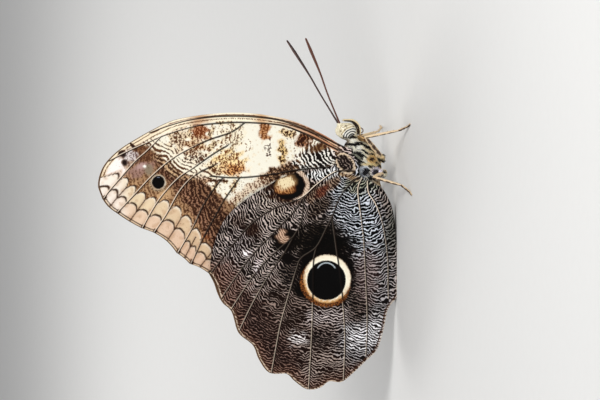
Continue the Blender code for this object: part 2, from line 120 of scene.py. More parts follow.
# The palps and the folded forelegs: way, radii, how slim the core is, period of the stripes, number
# of tufts, their length, two paints, and which of them wins.
FURRY_LIMBS = {
    "palp": (((23.9, 0.95, 11.3), (26.1, 1.0, 11.5), (27.9, 1.0, 13.2), (28.2, 0.9, 15.9)),
             (0.42, 0.5, 0.5, 0.44, 0.28), 0.85, 1.7, 900, 0.42, (248, 230, 188), (52, 36, 24), 0.8),
    "foreleg": (((19.9, 2.1, 7.6), (21.4, 2.6, 8.7), (22.7, 2.6, 10.4), (23.5, 2.35, 11.5)),
                (0.45, 0.55, 0.5, 0.25), 0.8, 1.3, 1500, 0.6, (214, 176, 122), (96, 60, 34), 0.3),
}

# The wings: membrane and vein sizes, how far each wing lies from the plane of symmetry, and the
# bulge of the hindwing's shoulder by its centre, radius and rise.
MEMBRANE = 0.5
VEIN_RISE = (0.24, 0.11)
VEIN_HALF_WIDTH = (0.62, 0.36)
FORE_SPREAD = 0.8
FORE_TIP_SPREAD = 0.6
HIND_SPREAD = 1.25
OVER_FOREWING = 1.4
OVER_BODY = 0.9
LOBE = ((15.6, 16.0), 3.0, 0.55)

FORE_ROOT = (22.0, 14.0)
FORE_COSTA = (
    (19.4, 14.4), (20.8, 17.2), (23.5, 21.8), (26.2, 27.3), (28.2, 32.8), (29.4, 38.4),
    (30.2, 45.0), (30.3, 52.0), (29.5, 60.2), (28.0, 68.0), (25.1, 74.4), (22.3, 79.4),
    (19.7, 83.6), (16.6, 87.2), (13.2, 89.6), (8.7, 90.7), (4.6, 89.4),
)
# The forewing's vein ends on the outer margin, each with how far the edge before it draws in.
FORE_MARGIN = (
    ((0.5, 85.3), -0.4), ((-4.1, 77.7), -0.2), ((-5.4, 74.1), 0.0), ((-11.6, 66.9), 0.7),
    ((-14.9, 62.9), 0.2), ((-17.4, 57.6), 0.3), ((-19.5, 53.4), 0.0),
)
FORE_INNER = ((-19.5, 53.4), (-14.0, 45.0), (-5.0, 33.5), (4.0, 23.5), (10.5, 16.4), (13.2, 13.8))
FORE_VEINS = {
    "subcosta": ((20.2, 16.6), (23.2, 22.9), (26.0, 29.5), (28.2, 36.2), (29.2, 44.8),
                 (29.2, 54.6), (28.2, 63.2), (26.3, 70.2), (24.3, 75.7)),
    "radius": ((18.6, 16.4), (21.7, 23.3), (24.7, 29.7), (26.7, 35.8), (27.4, 45.7),
               (27.3, 52.6), (26.3, 61.7), (23.8, 70.4), (21.4, 76.1), (18.8, 82.0), (15.9, 87.9)),
    "radius_5": ((23.0, 72.3), (18.7, 76.5), (15.7, 80.0), (10.7, 84.5), (6.7, 88.0), (4.7, 89.4)),
    "media_1": ((27.3, 46.6), (24.5, 50.7), (22.1, 57.7), (18.7, 65.1), (15.7, 69.8),
                (11.3, 74.9), (6.6, 79.4), (0.5, 85.3)),
    "media_2": ((21.0, 50.9), (18.2, 55.8), (14.1, 61.8), (11.3, 66.1), (7.2, 70.3),
                (2.5, 73.9), (-4.1, 77.7)),
    "media_3": ((15.0, 54.9), (11.8, 61.5), (7.0, 66.3), (-0.2, 70.5), (-5.4, 74.1)),
    "cell_end": ((24.5, 50.7), (21.0, 50.9), (15.0, 54.9), (11.4, 57.3)),
    "cubitus": ((14.6, 17.4), (13.9, 23.3), (13.3, 30.1), (12.0, 37.5), (11.1, 45.0), (10.9, 51.0),
                (11.4, 57.3)),
    "cubitus_1": ((10.9, 53.2), (7.2, 56.2), (1.8, 59.6), (-2.7, 61.7), (-6.6, 63.9), (-11.6, 66.9)),
    "cubitus_2": ((11.0, 48.0), (4.4, 52.7), (-0.4, 55.4), (-7.4, 59.3), (-14.9, 62.9)),
    "anal": ((13.2, 16.6), (5.9, 27.5), (-4.6, 40.6), (-12.6, 51.0), (-17.4, 57.6)),
}

HIND_ROOT = (13.0, 15.5)
HIND_COSTA = (
    (11.9, 12.2), (14.6, 12.6), (17.4, 14.0), (18.7, 16.4), (17.6, 18.6), (15.2, 19.3),
    (13.6, 21.4), (13.4, 25.0), (13.2, 28.4), (12.1, 32.0), (10.4, 36.6), (8.8, 39.1),
    (5.1, 45.4), (0.6, 51.0), (-3.6, 54.0), (-9.3, 56.2), (-14.4, 57.2), (-17.5, 57.0),
)
HIND_MARGIN = (
    HIND_COSTA[-1],
    (-20.6, 55.3), (-24.4, 54.0), (-26.7, 52.7), (-29.2, 50.1), (-34.4, 48.5), (-36.5, 47.1),
    (-39.4, 43.5), (-43.6, 41.7), (-47.6, 38.5), (-47.9, 33.4), (-50.2, 30.7), (-52.6, 27.0),
    (-52.0, 23.4), (-50.2, 20.7), (-50.4, 17.0), (-47.8, 13.5), (-44.2, 9.6), (-40.6, 6.0),
    (-34.5, 4.0), (-28.7, 2.7), (-25.2, 0.0),
)
HIND_INNER = ((-10.8, 0.0), (-3.3, 0.6), (1.8, 1.5), (5.1, 3.0), (7.8, 4.9), (9.9, 8.6), (11.9, 12.2))
HIND_VEINS = {
    "costa": ((13.0, 14.4), (12.6, 19.2), (8.7, 24.9), (5.5, 28.6), (3.4, 32.8), (1.4, 38.4),
              (-2.0, 43.6), (-7.6, 49.1), (-17.5, 57.0)),
    "radius": ((5.5, 28.6), (1.1, 31.4), (-2.4, 34.8), (-6.3, 38.6), (-10.0, 42.4),
               (-14.5, 46.3), (-19.6, 50.0), (-25.7, 54.1)),
    "media_1": ((-6.8, 31.8), (-11.4, 37.2), (-16.5, 42.4), (-21.7, 46.2), (-28.8, 50.9)),
    "media_2": ((5.5, 28.6), (-2.5, 29.6), (-6.8, 31.8), (-11.8, 34.6), (-18.3, 39.2),
                (-26.4, 44.0), (-34.8, 48.2)),
    "cubitus": ((11.0, 12.4), (6.0, 17.0), (-0.9, 19.9), (-3.8, 21.4), (-9.9, 24.7),
                (-13.2, 29.3), (-16.6, 30.8), (-24.8, 33.3), (-32.9, 35.6), (-41.1, 37.2), (-48.1, 38.5)),
    "cubitus_1": ((-9.9, 24.7), (-14.4, 25.6), (-24.3, 25.8), (-34.8, 26.0), (-52.7, 27.0)),
    "cubitus_2": ((-0.9, 19.9), (-10.8, 18.5), (-22.8, 16.9), (-36.6, 15.9), (-50.2, 16.3)),
    "anal_1": ((10.6, 11.2), (7.0, 12.0), (-0.9, 11.0), (-9.3, 10.0), (-21.3, 9.4), (-31.8, 9.0),
               (-42.6, 9.4)),
    "anal_2": ((9.8, 9.4), (6.4, 9.0), (3.0, 7.0), (-3.3, 4.8), (-13.8, 3.0), (-25.4, 2.4)),
}

# How finely the wings' skins are cut, and how far cuts stay clear of the edge and of each other.
SKIN_STEP = 0.4
EDGE_STEP = 0.3
VEIN_STEP = 0.6
MARGIN_STEP = 0.8
ROW_RATIO = 0.87
RAILS = (0.0, 0.35, -0.35, 0.7, -0.7, 1.0, -1.0)
RAIL_CLEARANCE = 0.12
FIELD_CLEARANCE = 0.22
BESIDE_RAILS = 0.15
FIELD_SINK = 0.07

# Paints that are used more than once, as the eye sees them, 0 to 255.
WHITE = (252, 249, 238)
CREAM = (243, 237, 219)
BROWN = (96, 62, 42)
UMBER = (58, 33, 19)
BLACK = (10, 7, 5)

# Where the forewing's shaded outer half begins, from the inner margin to the costa.
SHADE_EDGE = (
    (-14.0, 40.0), (0.0, 47.5), (3.0, 50.4), (5.2, 53.4), (8.4, 57.6), (10.5, 61.4), (12.5, 66.4),
    (14.4, 69.2), (17.2, 71.8), (19.2, 75.4), (21.6, 79.6),
)
# Each round eyespot: its pupil's centre and radius, its ring's centre and radius, its rim's width,
# and the shades of the rim, the ring, the ring's warm side and the glints.
SMALL_EYESPOT = ((9.5, 72.9), 2.25, (9.4, 72.9), 2.62, 0.35,
                 ((196, 170, 130), (216, 204, 184), (176, 150, 124), (130, 140, 160)))
LARGE_EYESPOT = ((-19.9, 21.6), 6.05, (-19.5, 21.4), 7.4, 1.1,
                 ((144, 84, 36), (250, 243, 220), (206, 156, 96), (190, 202, 206)))
# The oval spot near the shoulder: its centre, and its half size in X and in Z.
UPPER_EYESPOT = ((8.6, 33.4), (4.2, 4.9))

# Marks on the wings. A mark is an oval, by its centre and half size, or a stroke, by its way and half
# width. Then come the oval's turn in degrees, how soft and how ragged the edge is, the pale and the
# dark paint, how far the pale one wins, and the mark's strength where it isn't full.
FORE_FIELD = (
    ((23.6, 50.6), (3.2, 3.6), 0, 0.45, 0.35, (240, 228, 200), (104, 68, 38), 0.2),
    ((15.4, 51.4), (3.6, 5.0), 0, 0.45, 0.35, (244, 216, 160), (112, 62, 28), 0.1),
    ((13.4, 49.8), (1.6, 3.2), 0, 0.45, 0.35, (216, 158, 98), (86, 38, 18), -0.1),
    ((12.8, 56.2), (1.5, 2.0), 0, 0.45, 0.35, (226, 196, 146), (96, 58, 32), -0.2),
    ((18.4, 35.0), (4.2, 1.3), 0, 0.45, 0.35, (226, 192, 132), (66, 40, 20), -0.05),
    ((24.4, 33.0), (1.7, 2.0), 20, 0.45, 0.35, (228, 200, 152), (60, 34, 18), -0.05),
    ((22.0, 28.6), (2.2, 2.4), 20, 0.45, 0.35, (160, 104, 66), (50, 24, 13), -0.3),
    ((20.5, 45.4), (2.0, 1.0), 0, 0.45, 0.35, CREAM, (150, 120, 88), 0.3),
    ((19.6, 39.2), (2.4, 1.3), 0, 0.45, 0.35, CREAM, (70, 42, 24), 0.15),
    ((22.5, 66.6), (4.6, 2.6), 0, 0.45, 0.35, (226, 204, 172), (88, 56, 36), 0.12),
    ((10.0, 54.8), (0.4, 2.5), 0, 0.45, 0.35, (120, 70, 44), (40, 22, 14), -0.9),
    ((10.6, 60.0), (2.2, 2.4), 30, 0.45, 0.35, (190, 140, 96), (74, 40, 22), -0.3),
    ((17.2, 62.0), (3.0, 3.4), 30, 0.45, 0.35, (240, 226, 200), (70, 38, 22), -0.05),
    ((24.6, 60.2), (2.7, 2.6), 0, 0.3, 0.3, (186, 128, 88), (104, 50, 24), -0.1),
    ((20.6, 61.4), (2.4, 3.4), 0, 0.5, 0.3, (222, 192, 152), (100, 56, 30), 0.0),
    ((25.2, 40.5), (2.8, 1.8), 0, 0.3, 0.3, (192, 138, 92), (108, 58, 26), -0.05),
    (((14.2, 31.4), (12.4, 36.0), (10.4, 40.0)), 1.9, 0, 0.4, 0.3, (170, 132, 98), (48, 28, 17), -0.3),
    (((10.0, 41.0), (6.6, 46.2), (2.4, 51.6)), 1.5, 0, 0.5, 0.3, (226, 202, 172), (96, 60, 40), 0.0, 0.8),
    # Black and white bars towards the root.
    ((16.4, 23.8), (3.9, 7.0), 8, 0.3, 0.25, (246, 241, 230), (20, 13, 10), -0.12),
    ((11.6, 20.6), (2.8, 5.4), 0, 0.3, 0.2, (228, 222, 212), BLACK, -0.14),
    ((20.6, 22.4), (1.3, 4.8), 25, 0.3, 0.1, (130, 96, 62), (70, 40, 22), 0.0),
)
# Shading in the outer half.
FORE_SHADE = (
    (((9.5, 63.4), (4.1, 59.6), (-2.4, 56.4), (-11.0, 53.4)), 4.8, 0, 0.35, 0.2,
     (156, 114, 88), (50, 25, 14), -0.1),
    (((17.0, 72.6), (12.4, 69.6), (9.6, 66.4)), 2.5, 0, 0.5, 0.2, (130, 92, 70), (54, 29, 17), -0.12),
    (((9.5, 62.4), (4.5, 57.5), (-4.0, 54.0)), 2.6, 0, 0.6, 0.2, (138, 100, 74), (46, 24, 14), -0.12),
)
FORE_OUTER = (
    ((5.2, 71.6), (1.5, 3.2), 35, 0.5, 0.1, (190, 154, 114), (122, 86, 56), 0.5),
    ((-1.2, 69.4), (1.6, 3.4), 130, 0.5, 0.2, (176, 132, 92), (110, 72, 44), 0.2),
    ((-9.0, 60.8), (3.4, 2.6), 150, 0.4, 0.2, (164, 108, 68), (96, 50, 27), -0.1),
    # The tip.
    ((17.7, 78.0), (4.0, 3.1), 60, 0.25, 0.15, (126, 88, 60), (82, 50, 32), -0.05),
    ((13.0, 78.6), (5.4, 1.7), -65, 0.3, 0.15, (150, 116, 102), (104, 72, 60), 0.25),
    ((14.2, 78.4), (1.6, 0.9), -65, 0.6, 0.1, (176, 144, 138), (140, 106, 96), 0.5),
    ((13.1, 75.8), (1.7, 1.3), 0, 0.4, 0.1, (134, 118, 98), (98, 82, 64), 0.4),
    ((14.2, 77.1), (0.42, 0.42), 0, 0.35, 0.12, WHITE, WHITE, 1.0),
    ((17.4, 82.0), (2.3, 2.6), 0, 0.4, 0.2, (208, 198, 194), (112, 90, 86), 0.2),
    ((12.6, 86.4), (5.6, 3.2), -20, 0.35, 0.15, (246, 236, 230), (206, 178, 160), 0.7),
    # Beside the shoulder.
    ((19.2, 16.6), (2.6, 3.0), 0, 0.4, 0.2, (234, 212, 204), (24, 14, 12), 0.0),
)
# Dark spots by the tip.
FORE_SPOTS = (
    ((17.9, 83.8), (1.3, 1.0), 30, 0.35, 0.12, (44, 30, 28), (30, 18, 16), -1.0),
    ((15.3, 83.2), (1.05, 0.85), 0, 0.35, 0.12, (44, 30, 28), (30, 18, 16), -1.0),
    ((20.2, 80.6), (0.35, 1.9), -50, 0.35, 0.12, (44, 30, 28), (30, 18, 16), -1.0),
)
# The ground of the outer half.
HIND_GROUND = (
    ((-33.0, 33.0), (14.0, 14.0), 0, 0.5, 0.12, (146, 126, 116), (20, 8, 4), -0.3),
    ((-46.0, 25.0), (9.0, 20.0), 0, 0.5, 0.12, (166, 148, 138), (22, 9, 5), -0.22),
)
# Pale and dark patches towards the costa.
HIND_FRONT = (
    ((-10.5, 49.4), (7.0, 3.6), 150, 0.5, 0.3, (198, 184, 180), (18, 8, 6), -0.32),
    ((-11.9, 46.2), (1.2, 1.2), 0, 0.5, 0.4, (250, 244, 244), (90, 76, 76), 0.2),
    ((-15.5, 43.0), (2.0, 1.1), 0, 0.5, 0.4, (232, 220, 220), (50, 36, 34), 0.0),
    ((-2.0, 48.6), (2.8, 2.2), 120, 0.5, 0.3, (128, 104, 90), (24, 11, 7), -0.4, 0.7),
    ((-4.6, 44.4), (2.4, 2.4), 120, 0.5, 0.3, (116, 92, 76), (28, 12, 7), -0.5),
    ((3.4, 39.0), (3.6, 5.0), 120, 0.5, 0.2, (196, 180, 168), (18, 8, 5), -0.1),
    # Reddish brown along the outer margin.
    (((-19.0, 54.0), (-28.0, 48.6), (-36.0, 43.0), (-44.0, 37.0)), 5.4, 0, 0.5, 0.12,
     (160, 130, 118), (34, 14, 9), -0.2),
    (((-29.0, 46.0), (-37.0, 40.5), (-45.0, 34.0)), 5.0, 0, 0.5, 0.3, (128, 102, 92), (22, 9, 6), -0.4),
)
# Black and bluish white towards the inner margin.
HIND_REAR = (
    (((3.0, 14.0), (-8.0, 9.0), (-18.0, 7.5), (-30.0, 8.0), (-38.0, 11.0)), 7.4, 0, 0.45, 0.12,
     (178, 172, 172), (13, 9, 9), -0.2),
    (((9.0, 15.0), (1.0, 13.2), (-7.0, 9.6)), 6.4, 0, 0.45, 0.2, (214, 219, 227), (3, 3, 5), -0.22),
    ((-35.6, 9.8), (4.4, 5.6), 20, 0.5, 0.3, (250, 248, 250), (26, 18, 18), 0.0),
    ((-37.4, 30.0), (1.8, 2.8), 0, 0.5, 0.35, (244, 236, 234), (34, 20, 17), 0.0),
    ((-36.6, 22.6), (2.6, 4.4), 0, 0.5, 0.3, (150, 132, 124), (16, 8, 6), -0.4),
    (((-31.0, 26.0), (-30.0, 14.0)), 2.2, 0, 0.6, 0.3, (204, 190, 186), (22, 10, 8), -0.12),
    ((8.8, 11.8), (2.3, 4.8), 0, 0.4, 0.25, (176, 176, 156), (14, 16, 13), -0.25),
)
# Black in front of the large eyespot.
HIND_MIDDLE = (
    ((-7.4, 25.6), (4.8, 8.0), 20, 0.4, 0.2, (92, 78, 66), (7, 4, 2), -0.55),
    ((-9.8, 20.4), (4.2, 7.4), 0, 0.4, 0.2, (58, 46, 38), (3, 2, 1), -0.75),
)
# Smaller marks round the large eyespot and in front of it.
HIND_SMALL = (
    ((-17.4, 33.4), (4.4, 2.4), 0, 0.5, 0.25, (112, 98, 90), (8, 4, 3), -0.42),
    ((-26.4, 11.6), (7.0, 3.8), 0, 0.5, 0.12, (124, 108, 100), (9, 4, 2), -0.34),
    ((-17.0, 31.0), (5.0, 1.8), 0, 0.5, 0.12, (100, 86, 78), (6, 2, 1), -0.4),
    ((-18.4, 9.0), (8.0, 3.4), 0, 0.5, 0.2, (160, 142, 138), (40, 26, 25), -0.12, 0.8),
    ((-7.6, 34.6), (3.4, 3.4), 0, 0.4, 0.12, (50, 36, 28), (6, 3, 2), -0.9),
    ((-6.8, 35.2), (2.1, 1.5), 30, 0.35, 0.2, (206, 172, 146), (120, 88, 68), 0.3),
    ((-13.2, 33.6), (1.7, 1.6), 0, 0.4, 0.12, (30, 22, 18), (6, 3, 2), -0.9),
    ((2.0, 24.0), (2.2, 4.6), 40, 0.4, 0.12, (130, 112, 100), (14, 6, 3), -0.35),
)

# Marks on the side of the thorax: centre and half size as (X, Z), two paints, and which wins.
BODY_MARKS = (
    ((16.8, 13.0), (2.4, 1.5), (150, 150, 132), (12, 10, 8), -0.35),
    ((20.2, 12.2), (0.8, 0.9), (255, 252, 240), (200, 190, 170), 0.9),
    ((22.1, 14.0), (0.55, 3.2), (246, 242, 230), (60, 46, 34), 0.9),
    ((23.1, 13.5), (0.35, 3.2), (120, 104, 84), (12, 8, 6), -0.9),
    ((20.9, 13.6), (0.4, 2.3), (120, 104, 84), (12, 8, 6), -0.9),
    ((15.1, 9.0), (0.45, 3.0), (240, 218, 164), (90, 64, 38), 0.9),
    ((16.7, 8.4), (1.25, 1.7), (214, 178, 116), (60, 38, 20), 0.9),
    ((16.7, 8.5), (0.55, 0.9), (120, 80, 44), (52, 28, 14), -0.9),
    ((13.0, 10.7), (1.8, 1.7), (226, 232, 242), (10, 10, 16), 0.9),
    ((12.9, 10.2), (1.2, 1.2), (70, 72, 90), (10, 10, 16), -0.9),
    ((12.9, 6.9), (1.7, 1.9), (232, 226, 238), (40, 36, 48), 0.9),
    ((12.7, 7.2), (1.05, 1.3), (90, 86, 100), (40, 36, 46), -0.9),
)

# The skin and fur of the body, how much longer and wider tufts are on the thorax and shorter on the
# head, and the way they lie. Each part of the coat covers a stretch of X.
BODY_SIDES = 28
NECK_SIDES = 16
BODY_VOXEL = 0.16
TUFTS = 26000
TUFT_LENGTH = 0.5
TUFT_HALF_WIDTH = 0.055
THORAX_EXTRA = (0.4, 0.02)
HEAD_SHORTER = 0.35
LENGTH_LIMITS = (0.3, 1.6)
FUR_FLOW = (-1.0, 0.0, -0.25)
THORAX_TURN = (0.4, 0.0, -0.55)
COATS = {"coat_abdomen": (-30, 9.8), "coat_thorax": (9.8, 21.8), "coat_head": (21.8, 40)}
# A tuft's two rings of three points: share of its length, of its width, and lift. Its tip follows.
TUFT_RINGS = ((0.0, 1.0, -0.25), (0.45, 0.85, 0.30))
TUFT_POINTS = 7
TUFT_FACES = ((0, 1, 4), (0, 4, 3), (1, 2, 5), (1, 5, 4), (2, 0, 3), (2, 3, 5),
              (3, 4, 6), (4, 5, 6), (5, 3, 6), (2, 1, 0))
TUFT_MAP = ((0, 0), (1, 0), (2, 0), (0.3, 1.4), (1, 1.4), (1.7, 1.4), (1, 3))
TUFT_MAP_SIZE = 0.001
# The stretch of X that the layout of body pieces covers, and where the head starts and its height.
MAP_REACH = (-20.0, 29.0)
MAP_HEAD = (22.5, 15.0)

# The studio. Each light has a place, a size and a power in watts.
FLOOR_HALF = 5000.0
SWEEP_START = 3000.0
SWEEP_RADIUS = 1500.0
SWEEP_STEPS = 12
SWEEP_TOP = 4000.0
LIT_PLACE = (0.0, 0.0, 35.0)
LIGHTS = {
    "key": ((320.0, -420.0, 420.0), 260.0, 2.6),
    "fill": ((-380.0, -420.0, 200.0), 320.0, 0.9),
    "back": ((-100.0, 460.0, 380.0), 300.0, 1.2),
}
SKY = (0.86, 0.87, 0.9, 1.0)
SKY_STRENGTH = 0.5
VIEW_TILT = 12.0
VIEW_CENTRE = (4.2, 0.0, 29.4)
VIEW_DISTANCE = 2000.0
LENS = 400.0
SENSOR = 36.0


def spline(points, per_span):
    """Points on a Catmull-Rom curve through the given ones."""
    p = np.array(points, float)
    p = np.vstack([2 * p[0] - p[1], p, 2 * p[-1] - p[-2]])
    made = []
    for a, b, c, d in zip(p[:-3], p[1:-2], p[2:-1], p[3:]):
        for t in np.linspace(0, 1, per_span, endpoint=False):
            made.append(0.5 * (2 * b + (c - a) * t + (2 * a - 5 * b + 4 * c - d) * t**2
                               + (3 * b - a - 3 * c + d) * t**3))
    return np.array([*made, p[-2]])


def curve(points, step, per_span=6):
    """A smooth way through the points, given by places about one step apart."""
    p = spline(points, per_span)
    along = lengths_along(p)
    stops = np.linspace(0, along[-1], max(2, int(round(along[-1] / step)) + 1))
    return np.stack([np.interp(stops, along, p[:, i]) for i in range(p.shape[1])], axis=1)


def lengths_along(way):
    """The length of a polyline up to each of its points."""
    return np.concatenate([[0], np.cumsum(norms(np.diff(way, axis=0)))])


def norms(vectors):
    return np.linalg.norm(vectors, axis=1)


def between(ends, share):
    """The value a share of the way from the first end to the second."""
    return ends[0] + (ends[1] - ends[0]) * share


def spread_over(values, count):
    """The values spread evenly over a number of places."""
    return np.interp(np.linspace(0, 1, count), np.linspace(0, 1, len(values)), values)


def ramp(value, low, high):
    """0 below low, 1 above high, and smooth between them."""
    t = np.clip((value - low) / (high - low), 0, 1)
    return t * t * (3 - 2 * t)


def fade(value, low, high):
    """1 below low, 0 above high, and smooth between them."""
    return 1 - ramp(value, low, high)


BODY_CURVE = spline(BODY, 8)[::-1]


def body_at(x):
    """Height of the body's middle, its half height and its half width at X."""
    return [np.interp(x, BODY_CURVE[:, 0], BODY_CURVE[:, i]) for i in (1, 2, 3)]


def walls(rings, sides, first=0):
    """Faces between rings of points, the first of which is given by its first point."""
    faces = []
    for start in range(first, first + (rings - 1) * sides, sides):
        for k in range(sides):
            a, b = start + k, start + (k + 1) % sides
            faces.append((a, a + sides, b + sides, b))
    return faces


def ring_faces(rings, sides):
    """Faces between rings of points, with a cap on each end."""
    count = rings * sides
    return [*walls(rings, sides), tuple(range(sides)), tuple(range(count - sides, count))[::-1]]


def loft(stations, sides):
    """Points and faces round stations (X, middle Z, half height, half width)."""
    points = []
    for x, middle, high, wide in stations:
        for k in range(sides):
            angle = 2 * math.pi * k / sides
            points.append((x, wide * math.sin(angle), middle + high * math.cos(angle)))
    return points, ring_faces(len(stations), sides)


def tube(way, radii, sides, floor=None):
    """A round bar along a smooth way. The radii are spread evenly over it."""
    way = np.array(way, float)
    heading = np.gradient(way, axis=0)
    heading /= norms(heading)[:, None]
    across = np.cross(heading[0], (0.0, 0.0, 1.0))
    points = []
    for centre, ahead, radius in zip(way, heading, spread_over(radii, len(way))):
        across = across - ahead * across.dot(ahead)
        across /= np.linalg.norm(across)
        upward = np.cross(across, ahead)
        for k in range(sides):
            angle = 2 * math.pi * (k + 0.5) / sides
            p = centre + radius * (across * math.cos(angle) + upward * math.sin(angle))
            if floor is not None:
                p[2] = max(p[2], floor)
            points.append(tuple(p))
    return points, ring_faces(len(way), sides)


def ball(centre, half, rings, sides):
    """An ellipsoid's points and faces, its poles along Y."""
    points = [(centre[0], centre[1] - half[1], centre[2])]
    for i in range(1, rings):
        tilt = math.pi * i / rings
        for k in range(sides):
            angle = 2 * math.pi * k / sides
            points.append((
                centre[0] + half[0] * math.sin(tilt) * math.cos(angle),
                centre[1] - half[1] * math.cos(tilt),
                centre[2] + half[2] * math.sin(tilt) * math.sin(angle),
            ))
    points.append((centre[0], centre[1] + half[1], centre[2]))
    faces = [(0, 1 + k, 1 + (k + 1) % sides) for k in range(sides)] + walls(rings - 1, sides, 1)
    last, top = 1 + (rings - 2) * sides, len(points) - 1
    faces += [(last + (k + 1) % sides, last + k, top) for k in range(sides)]
    return points, faces


def outward(obj):
    """Turns every face of a closed mesh to point out."""
    shape = bmesh.new()
    shape.from_mesh(obj.data)
    bmesh.ops.recalc_face_normals(shape, faces=shape.faces)
    shape.to_mesh(obj.data)
    shape.free()
    return obj


def sided(spots, side):
    """The same places on one side of the body."""
    return [(x, y * SIDES[side], z) for x, y, z in spots]


def direction(start, end):
    """The direction from one place to another."""
    way = np.array(end, float) - np.array(start, float)
    return way / np.linalg.norm(way)


# Meshes and what they carry.


def add_mesh(name, points, faces, material=None, smooth=True):
    """A mesh object from points in millimetres, riding on the one body."""
    mesh = bpy.data.meshes.new(name)
    mesh.from_pydata([Vector(p) * MM for p in points], [], faces)
    if material is not None:
        mesh.materials.append(material)
    if smooth:
        mesh.shade_smooth()
    obj = bpy.data.objects.new(name, mesh)
    bpy.context.scene.collection.objects.link(obj)
    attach(obj, "root")
    return obj


def give(mesh, **layers):
    """Stores numbers, places or paints for the points of a mesh, each under its own name."""
    for name, values in layers.items():
        values = np.asarray(values, np.float32)
        kind, key = ("FLOAT", "value") if values.ndim == 1 else ("FLOAT_VECTOR", "vector")
        if name in ("pale", "dark"):
            kind, key = "FLOAT_COLOR", "color"
            values = np.hstack([values, np.ones((len(values), 1), np.float32)])
        layer = mesh.attributes.get(name) or mesh.attributes.new(name, kind, "POINT")
        layer.data.foreach_set(key, values.ravel())


def places(mesh):
    """Where the points of a mesh are, in millimetres."""
    return np.array([v.co for v in mesh.vertices]) / MM


def map_faces(mesh, spots):
    """Lays out the mesh by one flat place for each face corner."""
    layer = mesh.uv_layers.new(name="OFBake")
    layer.data.foreach_set("uv", np.asarray(spots, np.float32).ravel())


def wrap_place(spots):
    """Share of the body's length, and of the turn round it from the top."""
    x, y, z = spots.T
    u = np.clip((x - MAP_REACH[0]) / (MAP_REACH[1] - MAP_REACH[0]), 0, 1)
    middle = np.where(x > MAP_HEAD[0], MAP_HEAD[1], body_at(x)[0])
    return u, (np.arctan2(y, z - middle) / (2 * math.pi)) % 1.0


def on_map(u, v):
    """Places in the layout, from shares of the length and of the turn."""
    return np.column_stack((0.01 + 0.95 * u, 0.01 + 0.85 * v))


def round_layout(mesh):
    """Lays a body piece out by its length and the turn round its long axis."""
    corners = [loop.vertex_index for loop in mesh.loops]
    starts = [face.loop_start for face in mesh.polygons]
    totals = [face.loop_total for face in mesh.polygons]
    u, v = wrap_place(places(mesh)[corners])
    high = np.maximum.reduceat(v, starts).repeat(totals)
    map_faces(mesh, on_map(u, np.where(high - v > 0.5, v + 1.0, v)))


def linear(colour):
    """A paint as the renderer counts light."""
    c = np.array(colour, float) / 255
    return np.where(c <= 0.04045, c / 12.92, ((c + 0.055) / 1.055) ** 2.4)


